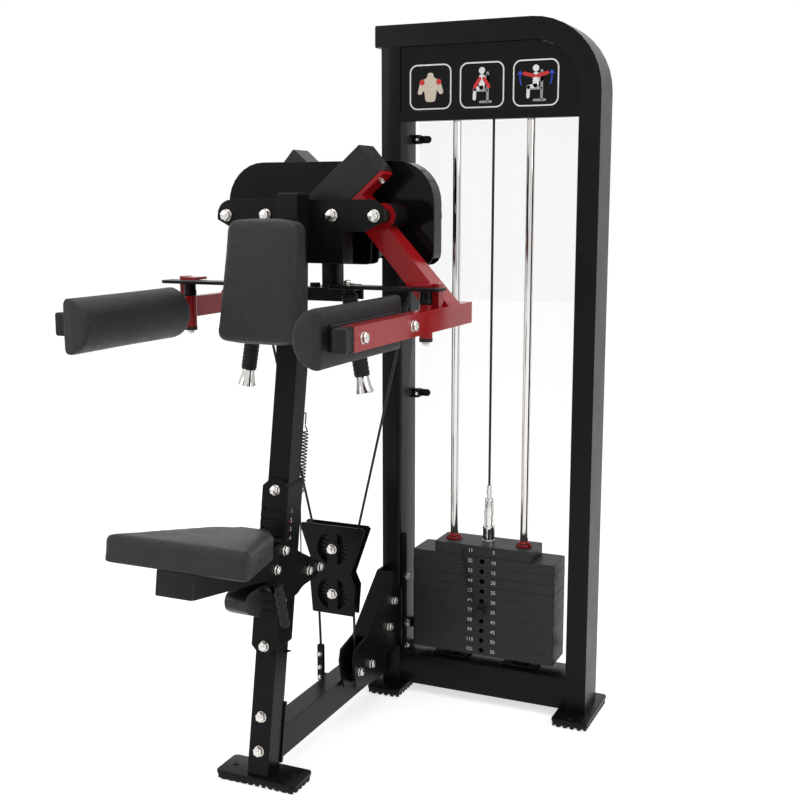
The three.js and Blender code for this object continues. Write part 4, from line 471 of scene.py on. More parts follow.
def settled(name, mesh, finish, body, stands=(), sharp=34, bevel=None):
    mesh.shade_smooth()
    mesh.set_sharp_from_angle(angle=math.radians(sharp))
    mesh.materials.append(materials[finish])
    piece = newObject(name, mesh)
    if bevel:
        rounding = piece.modifiers.new("roundEdges", "BEVEL")
        rounding.width = bevel / 1000
        rounding.segments = 2
        rounding.limit_method = "ANGLE"
        rounding.angle_limit = math.radians(sharp)
        rounding.harden_normals = True
    if isinstance(body, tuple):
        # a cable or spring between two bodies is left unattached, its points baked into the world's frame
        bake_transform(piece)
    else:
        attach(piece, body)
    if stands:
        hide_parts(*stands)
    return piece


def dressed(node, finish, bevel=1.2, sharp=34, cuts=(), drop=None, moved=None):
    # a copy of a CAD node's mesh, welded and with its coplanar triangles joined, then its edges rounded;
    # what lies beyond a cut (point, outward normal), or has its middle where drop says so, is taken off
    # and closed, and moved gives the vertices their new places
    work = bmesh.new()
    work.from_mesh(nodes[node].data)
    bmesh.ops.remove_doubles(work, verts=work.verts, dist=2e-5)
    for point, normal in cuts:
        everything = work.verts[:] + work.edges[:] + work.faces[:]
        bmesh.ops.bisect_plane(work, geom=everything, dist=1e-6, plane_co=toFrame(point), plane_no=normal,
                               clear_outer=True)
    if drop is not None:
        middles = np.array([face.calc_center_median()[:] for face in work.faces]) * 1000 - stationOrigin
        unwanted = [face for face, out in zip(work.faces, drop(middles)) if out]
        bmesh.ops.delete(work, geom=unwanted, context="FACES")
    bmesh.ops.holes_fill(work, edges=[edge for edge in work.edges if edge.is_boundary])
    bmesh.ops.dissolve_limit(work, angle_limit=math.radians(0.8), verts=work.verts, edges=work.edges)
    work.verts.index_update()
    points = np.array([v.co[:] for v in work.verts])
    if moved is not None:
        points = toFrame(moved(points * 1000 - stationOrigin))
    faces = [[v.index for v in face.verts] for face in work.faces]
    work.free()
    mesh = newMesh(node + "_shell", points, faces)
    return settled(node + "_shell", mesh, finish, nodes[node]["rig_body"], (node,), sharp, bevel)


def repainted(piece, finish, chosen):
    # a second finish on the faces that the test picks by their middles and normals
    mesh = piece.data
    mesh.materials.append(materials[finish])
    middles = readVectors(mesh.polygons, "center") * 1000 - stationOrigin
    picked = chosen(middles, readVectors(mesh.polygons, "normal"))
    mesh.polygons.foreach_set("material_index", picked.astype(np.int32))


# Fasteners: a washer, a chamfered hexagon head and a shallow dome in its middle
bolts = {"washer": 12.0, "across": 19.0, "head": 8.0}


def hexBolt(at, way, size=1.0):
    washer = bolts["washer"] * size
    flat = bolts["across"] * size / 2 / math.cos(math.pi / 6)
    head = bolts["head"] * size
    disc = lathe([(0, 0), (washer, 0), (washer, 1.6), (washer - 0.8, 2.2), (0, 2.2)], 32)
    nut = prism(polar(flat, np.radians(np.arange(6) * 60 + 12)), 2, 2 + head, "z", 1.4)
    end = lathe([(0, 2), (flat * 0.52, 2), (flat * 0.52, head + 2.6), (flat * 0.3, head + 3.4), (0, head + 3.4)], 20)
    return turned(merged(disc, nut, end), at, way)


def boltSet(name, spots, body, size=1.0):
    return addPiece(name, merged(*[hexBolt(at, way, size) for at, way in spots]), "zincPlate", body)


# Plug that closes a tube's end: a flat cap with a soft rim, on the tube's own outline
def endPlug(name, u0, u1, v0, v1, low, high, axis, body, radius=5):
    return addPiece(name, slab(u0, u1, v0, v1, radius, low, high, axis, 1.6), "mouldedNylon", body)


# Tower: a clip's heights reach "tall" up and down, its tongue is (length, half height), and the CAD's own
# clips are taken off within "near" of each height
clips = {"z": (1383, 757, 150), "left": 75.3, "right": 509.8, "front": 84, "back": 107.7, "tall": 11,
         "tongue": (37, 9), "leg": 13, "stub": 15, "near": 13, "post": 0.6}


def onClips(spots, inner):
    return (np.min(np.abs(spots[:, 2:] - np.array(clips["z"])), axis=1) < clips["near"]) & inner


dressed("left_post", "powderCoat", 1.0, drop=lambda spots: onClips(
    spots, spots[:, 0] > clips["left"] + clips["post"]))
dressed("top_tube", "powderCoat", 1.0, drop=lambda spots: onClips(
    spots, spots[:, 0] < clips["right"] - clips["post"]))
dressed("cross_beam", "powderCoat", 1.0)
dressed("placard", "blackEnamel", 0.8)
endPlug("top_beam_plug", 1.2, 98.8, 1593.2, 1640.8, 9.6, 14, "x", "frame", 4)
nodes["guard_sheet"].material_slots[0].material = materials["clearAcrylic"]

tower = {"rodX": (201.3, 383.8), "rodY": 51.0, "stackX": 292.55}
clipShapes = []
for z in clips["z"]:
    left, right, back = clips["left"], clips["right"], clips["back"]
    low, high = z - clips["tall"], z + clips["tall"]
    reach, half = clips["tongue"]
    clipShapes += [slab(left, left + reach, z - half, z + half, 8.5, back - 4, back, "y", 1.2),
                   slab(left, left + clips["leg"], low, high, 2, clips["front"], back - 1, "y", 1.0),
                   slab(right - clips["stub"], right, low, high, 3, back - 3, back, "y", 0.5)]
addPiece("guard_clips", merged(*clipShapes), "mouldedNylon", "frame")
boltSet("clip_screws", [((clips["left"] + 7, clips["front"], z), (0, -1, 0)) for z in clips["z"]], "frame", 0.42)

sideStrip = {"inside": 75.3, "face": 80.3, "front": 1.0, "back": 32.0, "low": 21.0, "high": 409.0, "nutY": 25,
             "nuts": (296, 171, 108)}
addPiece("side_strip", slab(sideStrip["front"], sideStrip["back"], sideStrip["low"], sideStrip["high"], 6,
                            sideStrip["inside"], sideStrip["face"], "x", 0.8), "mattBlack", "frame")
boltSet("side_strip_nuts", [((sideStrip["face"], sideStrip["nutY"], z), (1, 0, 0)) for z in sideStrip["nuts"]],
        "frame", 0.75)

rodLine = [(0, 102.5), (9.4, 102.5), (10, 103.4), (10, 1590), (0, 1590)]
bumperLine = [(10.4, 109), (22, 109), (22.6, 112), (21.4, 115), (22.6, 118), (21.6, 124), (19, 125.6), (10.4, 125.6)]
bumperPlate = {"x": 44, "y": 29, "low": 102.4, "high": 108.4}
for side, x in zip(("left", "right"), tower["rodX"]):
    y = tower["rodY"]
    rod = "guide_rod_" + side
    addPiece(rod + "_bar", upright(x, y, rodLine, 56), "hardChrome", "frame", (rod,))
    holder = slab(x - bumperPlate["x"], x + bumperPlate["x"], y - bumperPlate["y"], y + bumperPlate["y"], 6,
                  bumperPlate["low"], bumperPlate["high"], "z", 1.2)
    addPiece("bumper_" + side + "_rubber", merged(upright(x, y, bumperLine, 44, True), holder),
             "castRubber", "frame", ("bumper_" + side,))
print("tower made")

# Feet: a steel plate with two sockets on a rubber pad whose lower edge is scalloped
feet = {
    "foot_left": {"box": (6.3, 94.3, -54, 140), "bolts": ((50.3, -40), (50.3, 126))},
    "foot_right": {"box": (490.8, 578.8, -54, 140), "bolts": ((534.8, -40), (534.8, 126))},
    "foot_front": {"box": (-97.5, 97.5, -597, -514), "bolts": ((-71, -555.5), (71, -555.5))},
}
# the sole's rings: how far each is drawn in, its height, and its share of the gaps between the sole's bars
soleRings = ((12.0, 0.0, 0.0), (2.4, 0.0, 1.0), (0.8, 0.8, 1.0), (0.2, 2.0, 1.0), (0.0, 7.4, 0.0),
             (0.0, 11.0, 0.0), (0.8, 12.2, 0.0))
sole = {"inset": 1.5, "corner": 10, "step": 1.6, "pitch": 17, "gapDepth": 2.0, "gapRise": 5.0, "steep": 1.6}
footPlate = {"low": 12.2, "high": 20}
socketLine = [(0, 20), (7.4, 20), (7.4, 21), (6.2, 21.6), (4.2, 21.6), (3.8, 20.4), (0, 20.4)]
for foot, look in feet.items():
    x0, x1, y0, y1 = look["box"]
    inset = sole["inset"]
    line = evenly(roundedBox(x0 + inset, x1 - inset, y0 + inset, y1 - inset, sole["corner"]), sole["step"])
    bars = round(len(line) * sole["step"] / sole["pitch"])
    gap = np.clip(sole["steep"] * np.sin(2 * math.pi * bars * np.arange(len(line)) / len(line)), 0, 1)
    outward = unit(line - np.array([(x0 + x1) / 2, (y0 + y1) / 2]))
    rings = []
    for drawn, z, share in soleRings:
        ring = laid(line - outward * (drawn + sole["gapDepth"] * share * gap)[:, None], z, "z")
        ring[:, 2] += sole["gapRise"] * share * gap
        rings.append(ring)
    addPiece(foot + "_rubber", gridShape(np.stack(rings)), "castRubber", "frame", (foot,), 50)
    plate = slab(x0, x1, y0, y1, sole["corner"], footPlate["low"], footPlate["high"], "z", 1.4)
    addPiece(foot + "_plate", plate, "powderCoat", "frame")
    sockets = merged(*[upright(x, y, socketLine, 28) for x, y in look["bolts"]])
    addPiece(foot + "_sockets", sockets, "mouldedNylon", "frame")
print("feet made")

# Weight stack: ten plates under a head plate, with plain numbers beside the row of holes
stack = {"bottom": 126.0, "pitch": 25.2, "count": 10, "lifted": 6, "numberHeight": 9.0, "numberX": 30,
         "plateFace": 2.75, "headFace": 4.75, "headZ": 391.0}
for number in range(1, stack["count"] + 1):
    dressed("weight_plate_%02d" % number, "paintedIron", 1.6)
dressed("head_plate", "paintedIron", 1.4, 38)


def textShape(words, height):
    # the words' outlines filled flat, in the plane (u, v) and centred on the origin
    curve = bpy.data.curves.new("words", "FONT")
    curve.body = words
    curve.size = height * 1.4
    curve.align_x = "CENTER"
    curve.align_y = "CENTER"
    curve.resolution_u = 3
    holder = newObject("words", curve)
    bpy.context.view_layer.update()
    mesh = bpy.data.meshes.new_from_object(evaluated(holder))
    points = readVectors(mesh.vertices, "co")
    faces = [list(p.vertices) for p in mesh.polygons]
    bpy.data.objects.remove(holder)
    bpy.data.curves.remove(curve)
    bpy.data.meshes.remove(mesh)
    return points, faces


def facing(shape, at, right, up):
    # (u, v) to at + u right + v up, and the third coordinate along their cross product
    right = unit(np.asarray(right, float))
    up = unit(np.asarray(up, float))
    return shape[0] @ np.stack([right, up, np.cross(right, up)]) + np.asarray(at, float), shape[1]


def addFlat(name, shape, finish, body):
    # a print keeps the way its faces point, because an open sheet has no inside
    return settled(name, newMesh(name, toFrame(shape[0]), shape[1]), finish, body)


# row 0 is on the head plate and row n on plate n; the pin's place decides which plates are lifted
numbers = {"stack": [], "frame": []}
for row in range(stack["count"] + 1):
    y, z = stack["headFace"], stack["headZ"]
    if row > 0:
        y = stack["plateFace"]
        z = stack["bottom"] + (stack["count"] - row) * stack["pitch"] + stack["pitch"] / 2
    for value, x in ((11 * (row + 1), -stack["numberX"]), (5 * (row + 1), stack["numberX"])):
        flat = textShape(str(value), stack["numberHeight"])
        numbers["stack" if row <= stack["lifted"] else "frame"].append(
            facing(flat, (tower["stackX"] + x, y, z), (1, 0, 0), (0, 0, 1)))
addFlat("stack_numbers_upper", merged(*numbers["stack"]), "whiteInk", "stack")
addFlat("stack_numbers_lower", merged(*numbers["frame"]), "whiteInk", "frame")

stemLine = [(11.2, 404.4), (15.6, 404.4), (15.6, 410), (14.4, 411), (14.4, 438), (15.4, 440), (15.4, 445.4),
            (11.4, 447), (11.4, 470), (12.8, 471), (12.8, 484), (11.4, 485), (11.4, 512), (10.2, 514.6),
            (6.2, 515), (6.2, 526), (7.4, 527), (7.4, 533), (6.2, 534), (6.2, 546), (5.2, 547.2), (0, 547.2)]
addPiece("stem_sleeve", upright(tower["stackX"], tower["rodY"], stemLine), "hardChrome", "stack")
bushLine = [(10.5, 403), (18.6, 403), (19.4, 405), (19.4, 408), (18.4, 410), (14.6, 411.5), (14.4, 414),
            (13.4, 415), (10.5, 415)]
for side, x in zip(("left", "right"), tower["rodX"]):
    addPiece("rod_bush_" + side, upright(x, tower["rodY"], bushLine, 44, True), "redEnamel", "stack")

pin = {"z": 239.4, "face": 2.7}
knob = lathe([(0, 0), (9.4, 0), (10.4, 1.2), (10.6, 4), (8.6, 7), (8.2, 16), (10.4, 21), (13.4, 23),
              (13.6, 25), (12.4, 26), (0, 26)], 40)
shaft = lathe([(0, -57), (4.2, -57), (5, -55), (5, 1), (0, 1)], 28)
addPiece("selector_knob", turned(merged(knob, shaft), (tower["stackX"], pin["face"], pin["z"]), (0, -1, 0)),
         "mouldedNylon", "pin", ("selector_pin",))


def helix(start, end, radius, curls, across, third):
    # start + t (end - start) + radius (cos 2 pi curls t across + sin 2 pi curls t third), 28 steps to a curl
    t = np.linspace(0, 1, round(curls * 28) + 1)[:, None]
    angle = 2 * math.pi * curls * t
    return np.asarray(start) + t * (np.asarray(end) - np.asarray(start)) + radius * (
        np.cos(angle) * np.asarray(across) + np.sin(angle) * np.asarray(third))


def helixTube(path, radius, axis):
    # its first axis points away from the winding's own line
    way = unit(np.gradient(path, axis=0))
    return carried(path, radius, 10, way, unit(np.cross(way, np.asarray(axis, float))))


def joinedPath(*pieces):
    # the stretches laid end to end, then smoothed where they meet by a running mean of three points
    path = np.concatenate([np.asarray(piece, float).reshape(-1, 3) for piece in pieces])
    inner = (path[:-2] + 2 * path[1:-1] + path[2:]) / 4
    return np.concatenate([path[:1], inner, path[-1:]])


lanyard = {"from": (242.55, -5.3, 383.0), "to": (270.55, -10.3, 261.0), "radius": 5.0, "curls": 12, "wire": 1.2}
axis = unit(np.array(lanyard["to"]) - np.array(lanyard["from"]))
across = unit(np.cross(axis, (0, 1, 0)))
third = np.cross(axis, across)
winding = helix(lanyard["from"], lanyard["to"], lanyard["radius"], lanyard["curls"], across, third)
leadIn = [(242.55, 4.7, 391.0), (242.55, 3.4, 391.0), (242.55, 2.3, 390.6), (244.0, 0.2, 388.6)]
leadOut = [(274.2, -10.3, 251.0), (277.0, -10.3, 242.6), (278.8, -10.3, 239.7), (281.2, -10.3, 239.4)]
lanyardPath = joinedPath(leadIn, winding, leadOut)
lanyardPiece = addPiece("lanyard_coil", helixTube(lanyardPath, lanyard["wire"], (0.23, -0.04, -0.97)),
                        "mouldedNylon", "stack", ("lanyard",), 60)
print("stack made")

# Placard: three rounded frames with plain figures of this exercise
placard = {"face": 5.6, "low": 1446.0, "high": 1549.0, "boxes": ((98, 203), (224, 332), (353, 461)), "line": 3.2,
           "corner": 19}


def flatFace(outline, y):
    outline = np.asarray(outline, float)
    ordered = outline if anticlockwise(outline) else outline[::-1]
    return laid(ordered, y, "y"), [list(range(len(ordered)))]


def ringFace(outer, inner, y):
    count = len(outer)
    faces = [[i, (i + 1) % count, count + (i + 1) % count, count + i] for i in range(count)]
    return np.concatenate([laid(outer, y, "y"), laid(inner, y, "y")]), faces


def limb(p, q, radius):
    # a line thickened to a capsule
    p, q = np.array(p, float), np.array(q, float)
    heading = math.atan2(*(q - p)[::-1])
    turn = np.radians(np.linspace(-90, 90, 13))
    return np.concatenate([q + polar(radius, heading + turn), p + polar(radius, heading + math.pi + turn)])


def bow(u, v, radius, start, stop, width):
    # a thick arc
    angles = np.radians(np.linspace(start, stop, 20))
    return np.concatenate([polar(radius + width, angles), polar(radius, angles[::-1])]) + (u, v)


# how far each ink lies in front of the placard
inkLift = {"white": 0.1, "skin": 0.0, "grey": 0.0, "red": 0.2, "blue": 0.2}
signs = {ink: [] for ink in inkLift}


def draw(ink, outline):
    signs[ink].append(flatFace(outline, placard["face"] - inkLift[ink]))


for x0, x1 in placard["boxes"]:
    outer = roundedBox(x0, x1, placard["low"], placard["high"], placard["corner"], 8)
    signs["white"].append(ringFace(outer, insetLine(outer, placard["line"]), placard["face"]))
# each figure is drawn from the middle of its frame: the muscles, then the arms lowered and raised
muscles, lowered, raised = [
    np.array([sum(box) / 2, (placard["low"] + placard["high"]) / 2]) for box in placard["boxes"]]
torso = np.array([(12, -34), (16, -6), (24, -18), (33, -15), (25, 14), (8, 21), (7, 32)])
draw("skin", softened(np.concatenate([torso, torso[::-1] * (-1, 1)]) + muscles, 7, 5))
for u in (-21, 21):
    draw("red", circle(muscles[0] + u, muscles[1] + 11, 6.5))
limbs = {
    "grey": (((14, -36), (14, 26), 3), ((-10, -12), (12, -12), 3), ((-4, -38), (22, -38), 2.6), ((12, 6), (12, 18), 5)),
    "white": (((0, -4), (0, 17), 7), ((0, -6), (-17, -9), 4.5), ((-17, -9), (-18, -30), 4)),
}
for middle, arms in ((lowered, (((5, 14), (17, -4), 4), ((-5, 14), (-17, -4), 4))),
                     (raised, (((4, 15), (27, 21), 4), ((-4, 15), (-27, 21), 4)))):
    draw("white", circle(middle[0], middle[1] + 32, 7.5))
    for ink, lines in {**limbs, "red": arms}.items():
        for p, q, radius in lines:
            draw(ink, limb(middle + p, middle + q, radius))
for start, stop in ((-26, 8), (172, 206)):
    draw("blue", bow(raised[0], raised[1] + 12, 36, start, stop, 2.6))
for sign in (1, -1):
    draw("blue", np.array([(31, 19), (44, 19), (37, 28)]) * (sign, 1) + raised)
for ink, shapes in signs.items():
    addFlat("sign_" + ink, merged(*shapes), ink + "Ink", "frame")
print("placard made")

# Column, base beam and seat rail
# (y, z) of the leaning front face's two ends
columnLine = {"foot": (-583.0, 20.3), "head": (-430.0, 880.0)}
leanOut = np.array([0, -0.9845, 0.1752])


def onColumn(z, off=0.0):
    # a point on the leaning column's front face at a height, moved off it squarely
    (footY, footZ), (headY, headZ) = columnLine["foot"], columnLine["head"]
    y = footY + (z - footZ) * (headY - footY) / (headZ - footZ)
    return np.array([0, y, z]) + leanOut * off


dressed("base_beam", "powderCoat", 1.0, cuts=(((29, 0, 0), (1, 0, 0)), ((-29, 0, 0), (-1, 0, 0))))
for node, bevel in (("column", 1.0), ("seat_rail", 1.6), ("gusset_bracket", 0.8),
                    ("front_bracket", 0.9), ("rear_bracket", 0.9), ("hanger", 0.8), ("seat_carriage", 0.8),
                    ("floating_block", 0.6)):
    dressed(node, "powderCoat", bevel)
dressed("cam_housing", "blackEnamel", 0.8)
endPlug("column_plug", -23.6, 23.6, -415.6, -368.4, 1247, 1251.5, "z", "frame")
endPlug("base_beam_plug", -23.6, 23.6, 38.4, 103.6, 38, 42.2, "y", "frame", 3)
boltSet("column_bolts", [(onColumn(z), leanOut) for z in (144, 71)], "frame", 1.0)
boltSet("rail_bolts", [(onColumn(z, 10), leanOut) for z in (624, 295)], "frame", 0.95)
bracketBolts = ((179.5, 1204), (-179.5, 1204), (80.6, 1205), (-80.6, 1205))
for name, y, way in (("bracket_bolts", -367.1, -1), ("rear_bolts", -48.9, 1)):
    boltSet(name, [((x, y, z), (0, way, 0)) for x, z in bracketBolts], "frame", 1.1)
boltSet("gusset_bolts", [((70.3, y, z), (1, 0, 0)) for y, z in ((-162, 129), (-225, 132), (-32, 247), (-59, 188))],
        "frame", 0.9)


def leaning(x0, x1, off0, off1, z0, z1, edge=0.4):
    # a bar along the column's front, between two distances from it
    corners = [onColumn(z0, off0), onColumn(z0, off1), onColumn(z1, off1), onColumn(z1, off0)]
    return prism(np.array(corners)[:, 1:], x0, x1, "x", edge)


railRibs = {"left": -31.4, "inset": -26.0, "right": 19.2, "face": 9.9, "floor": 6.0, "low": 366.0, "high": 592.0}
addPiece("rail_edge", leaning(railRibs["left"], railRibs["inset"], railRibs["floor"] - 0.2, railRibs["face"],
                              railRibs["low"], railRibs["high"]), "powderCoat", "frame")
# a matt black sheet on the slots' bottoms: painted shade in the recesses
addPiece("rail_slot_painted_shade", leaning(railRibs["inset"], railRibs["right"], railRibs["floor"], railRibs["floor"] + 0.3,
                                    railRibs["low"] + 2, railRibs["high"] - 2, 0.1), "mattBlack", "frame")
railScale = {"start": 582.0, "pitch": 19.0, "count": 12, "slot": 7.0, "side": 31.6}
# the ribs take the weights' greyer enamel: a painted highlight that stands in for the light on their edges
addPiece("rail_ribs_painted_highlight", merged(*[
    leaning(railRibs["inset"], railRibs["right"], railRibs["floor"], railRibs["face"] + 0.4,
            slot - railScale["pitch"] + railScale["slot"] / 2, slot - railScale["slot"] / 2, 1.0)
    for slot in railScale["start"] - railScale["pitch"] * np.arange(railScale["count"] - 1)]), "weightEnamelAndRibHighlight", "frame")

# Adjuster: a flat bar beside the beam that holds the cable's lower end by its screws
adjuster = {"x": (-50.0, -34.0), "y": (-212.5, -203.5), "z": (86.0, 177.0), "screws": (153, 120, 95)}
flatBar = slab(*adjuster["x"], *adjuster["z"], 3, *adjuster["y"], "y", 0.8)
bridge = slab(-36, -25.2, 88, 104, 1, -214, -202, "y", 0.6)
addPiece("adjuster_bar", merged(flatBar, bridge), "powderCoat", nodes["cable_adjuster"]["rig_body"], ("cable_adjuster",))
boltSet("adjuster_screws", [((sum(adjuster["x"]) / 2, adjuster["y"][0], z), (0, -1, 0)) for z in adjuster["screws"]],
        "frame", 0.42)

digits = []
marks = []
for i in range(railScale["count"]):
    at = onColumn(railScale["start"] - i * railScale["pitch"], -12)
    at[0] = railScale["side"]
    digits.append(facing(textShape(str(i + 1), 9.5), at, (0, 1, 0), (0, 0, 1)))
    dash = np.array([[-11, -0.9, 0], [-7, -0.9, 0], [-7, 0.9, 0], [-11, 0.9, 0]], float)
    marks.append(facing((dash, [[0, 1, 2, 3]]), at, (0, 1, 0), (0, 0, 1)))
addFlat("rail_digits", merged(*digits), "whiteInk", "frame")
addFlat("rail_marks", merged(*marks), "redInk", "frame")
print("column and rail made")


# Sheaves: a grooved rim and a hub joined by a thin web with ribs on both sides
sheaveRibs = {"count": 18, "width": 2.6, "web": 3.0, "rise": 5.4}


def sheave(rim, line, half, boreRadius):
    groove = line - 3.1
    body = [(groove - 6, -half + 1), (rim - 0.8, -half + 1), (rim, -half + 2), (rim, -3.8), (groove + 1.2, -3.0),
            (groove, -2.0), (groove, 2.0), (groove + 1.2, 3.0), (rim, 3.8), (rim, half - 2), (rim - 0.8, half - 1),
            (groove - 6, half - 1)]
    outer = lathe(body, 64, looped=True)
    hub = lathe([(boreRadius, -half), (13, -half), (14, -half + 1), (14, half - 1), (13, half), (boreRadius, half)],
                40, looped=True)
    web = sheaveRibs["web"] / 2
    disc = lathe([(13, -web), (groove - 5, -web), (groove - 5, web), (13, web)], 64, looped=True)
    rib = prism([(13, -sheaveRibs["width"] / 2), (groove - 5, -sheaveRibs["width"] / 2),
                 (groove - 5, sheaveRibs["width"] / 2), (13, sheaveRibs["width"] / 2)],
                -sheaveRibs["rise"], sheaveRibs["rise"], "z", 0.5)
    arms = []
    for angle in np.arange(sheaveRibs["count"]) * 2 * math.pi / sheaveRibs["count"]:
        turn = np.array([[math.cos(angle), math.sin(angle), 0], [-math.sin(angle), math.cos(angle), 0], [0, 0, 1]])
        arms.append((rib[0] @ turn, rib[1]))
    return merged(outer, hub, disc, *arms)


def roller(rim, line, half, boreRadius):
    groove = line - 3.1
    return lathe([(boreRadius, -half), (rim - 1, -half), (rim, -half + 1), (rim, -3.8), (groove, -3.2),
                  (groove, 3.2), (rim, 3.8), (rim, half - 1), (rim - 1, half), (boreRadius, half)], 44, looped=True)


# middle, axle's way, radius of the cable's middle line and body
wheels = {
    "sheave_upper": ((0, -208, 425), (0, 1, 0), 47, "upper_sheave"),
    "sheave_lower": ((0, -208, 315), (0, 1, 0), 47, "lower_sheave"),
    "base_pulley": ((50.3, -162, 129), (1, 0, 0), 47, "base_pulley"),
    "post_pulley": ((50.3, 31, 300), (1, 0, 0), 20, "post_pulley"),
    "top_pulley_post": ((66.3, 51, 1617), (0, 1, 0), 16, "top_pulley_post"),
    "top_pulley_stack": ((276.55, 51, 1617), (0, 1, 0), 16, "top_pulley_stack"),
}
wheelLook = {"half": 8, "bore": 6.4, "sheaveRim": 5, "rollerRim": 4, "largest": 20}
for name, (at, way, line, body) in wheels.items():
    if line > wheelLook["largest"]:
        shape = sheave(line + wheelLook["sheaveRim"], line, wheelLook["half"], wheelLook["bore"])
    else:
        shape = roller(line + wheelLook["rollerRim"], line, wheelLook["half"], wheelLook["bore"])
    addPiece(name + "_wheel", turned(shape, at, way), "mouldedNylon", body, (name,))
for place, y, way in (("front", -225, -1), ("rear", -191, 1)):
    boltSet("block_bolts_" + place, [((0, y, wheels[name][0][2]), (0, way, 0))
                                     for name in ("sheave_upper", "sheave_lower")], "block", 1.0)
print("sheaves made")


# Cables: straight stretches that are tangents of the wheels, and arcs round them
def tangentOf(first, second):
    au, av, ar, turnA = first
    bu, bv, br, turnB = second
    heading = math.atan2(bv - av, bu - au) - math.asin((turnB * br - turnA * ar) / math.hypot(bu - au, bv - av))
    normal = np.array([-math.sin(heading), math.cos(heading)])
    return np.array([au, av]) - turnA * ar * normal, np.array([bu, bv]) - turnB * br * normal


def roundWheel(wheel, start, stop):
    # points each 5 degrees along the wheel's circle from start to stop
    u, v, radius, turn = wheel
    a = math.atan2(start[1] - v, start[0] - u)
    span = math.atan2(stop[1] - v, stop[0] - u) - a
    while turn * span < 0:
        span += turn * 2 * math.pi
    angles = a + span * np.linspace(0, 1, max(3, math.ceil(abs(span) / math.radians(5)) + 1))
    return polar(radius, angles) + (u, v)


def stretch(points, spacing=12):
    # more points along the straight parts, so that the jacket's pattern has vertices to follow
    points = np.asarray(points, float)
    along = lengthAlong(points)
    spots = np.unique(np.concatenate([along, np.arange(0, along[-1], spacing)]))
    spots = spots[np.concatenate([[True], np.diff(spots) > 0.05])]
    return np.stack([np.interp(spots, along, points[:, k]) for k in range(points.shape[1])], 1)


def circleOf(name, turn):
    # a wheel in its own plane, as middle (u, v), the cable line's radius and the way that the cable turns
    at, way, line = wheels[name][:3]
    return (at[1] if way[0] else at[0], at[2], line, turn)


arm = {"pivot": (179.5, 1204.0), "lean": math.radians(41), "hub": 28.5, "tubeMiddle": {"right": -290, "left": -139},
       "rear": {"right": -250.0, "left": -99.0}, "slimmer": 17, "tubeLow": 1024, "plug": {"right": -186, "left": -88},
       "ends": {"right": -772.3, "left": -764.0}, "camLine": 51, "camStart": math.radians(60)}
upper, lower = circleOf("sheave_upper", -1), circleOf("sheave_lower", -1)
rightCam, leftCam = [(sign * arm["pivot"][0], arm["pivot"][1], arm["camLine"], -1) for sign in (1, -1)]
downRight, upLeft = tangentOf(rightCam, upper), tangentOf(upper, leftCam)
camTop = polar(arm["camLine"], arm["camStart"])
armsPath = np.concatenate([
    roundWheel(rightCam, np.array(rightCam[:2]) + camTop, downRight[0]), roundWheel(upper, downRight[1], upLeft[0]),
    roundWheel(leftCam, upLeft[1], np.array(leftCam[:2]) + camTop * (-1, 1))])
driveY = -208.0
anchor = (-42.0, 178.0, 0, 1)
upAnchor, downDrop = tangentOf(anchor, lower), tangentOf(lower, (50, 129.3, 0, 1))
floatPath = np.concatenate([
    laid(np.array([upAnchor[0]]), driveY, "y"), laid(roundWheel(lower, upAnchor[1], downDrop[0]), driveY, "y"),
    [(50.3, -209, 154.15), (50.3, -209, 129.15)]])
baseWheel, postWheel = circleOf("base_pulley", 1), circleOf("post_pulley", 1)
intoPost = tangentOf(baseWheel, postWheel)
rising = np.concatenate([
    roundWheel(baseWheel, (-209, 129), intoPost[0]), roundWheel(postWheel, intoPost[1], (51, 300))])
over = np.concatenate([roundWheel(circleOf("top_pulley_post", -1), (50.3, 1617), (66.3, 1633)),
                       roundWheel(circleOf("top_pulley_stack", -1), (276.55, 1633), (292.55, 1617))])
towerPath = np.concatenate([laid(rising, 50.3, "x"), laid(over, tower["rodY"], "y")])
stackPath = [(tower["stackX"], tower["rodY"], 547.3), (tower["stackX"], tower["rodY"], 1616.7)]
# path, the way its seam faces, and the body or the two bodies it joins
cables = {
    "arms": (laid(armsPath, driveY, "y"), (0, 1, 0), ("frame", "block", (0, 0, 1140), (0, 0, upper[1] + 10))),
    "float": (floatPath, (0, 1, 0.1), ("frame", "block", (0, 0, 190), (0, 0, lower[1] - 10))),
    "tower": (towerPath, (1, 1, 0), "frame"),
    "stack": (stackPath, (1, 1, 0), ("frame", "stack", (0, 0, 1600), (0, 0, 640))),
}
cableRadius = 3.0
for run, (points, seam, body) in cables.items():
    addPiece("cable_" + run + "_jacket", tube(stretch(points), cableRadius, seam), "cableJacket", body,
             ("cable_" + run,), 60)
print("cables made")

# Arms: red tubes, black counterweights, cams, and the fittings of each bar
bar = {"x": (303.4, 330.6), "z": (971.4, 1016.6), "boltX": 331, "boltZ": 994, "bolts": (-738, -514)}
sleeve = {"x": 291, "y": -352, "low": 944}


def onArm(along, across):
    # the pivot plus along (cos, sin) and across (sin, -cos) of the arm's lean
    cosine, sine = math.cos(arm["lean"]), math.sin(arm["lean"])
    return arm["pivot"][0] + along * cosine + across * sine, arm["pivot"][1] + along * sine - across * cosine


def barSlab(grow, radius, low, high, edge):
    # a slab across the bar, larger than its outline by grow
    (x0, x1), (z0, z1) = bar["x"], bar["z"]
    return slab(x0 - grow, x1 + grow, z0 - grow, z1 + grow, radius, low, high, "y", edge)


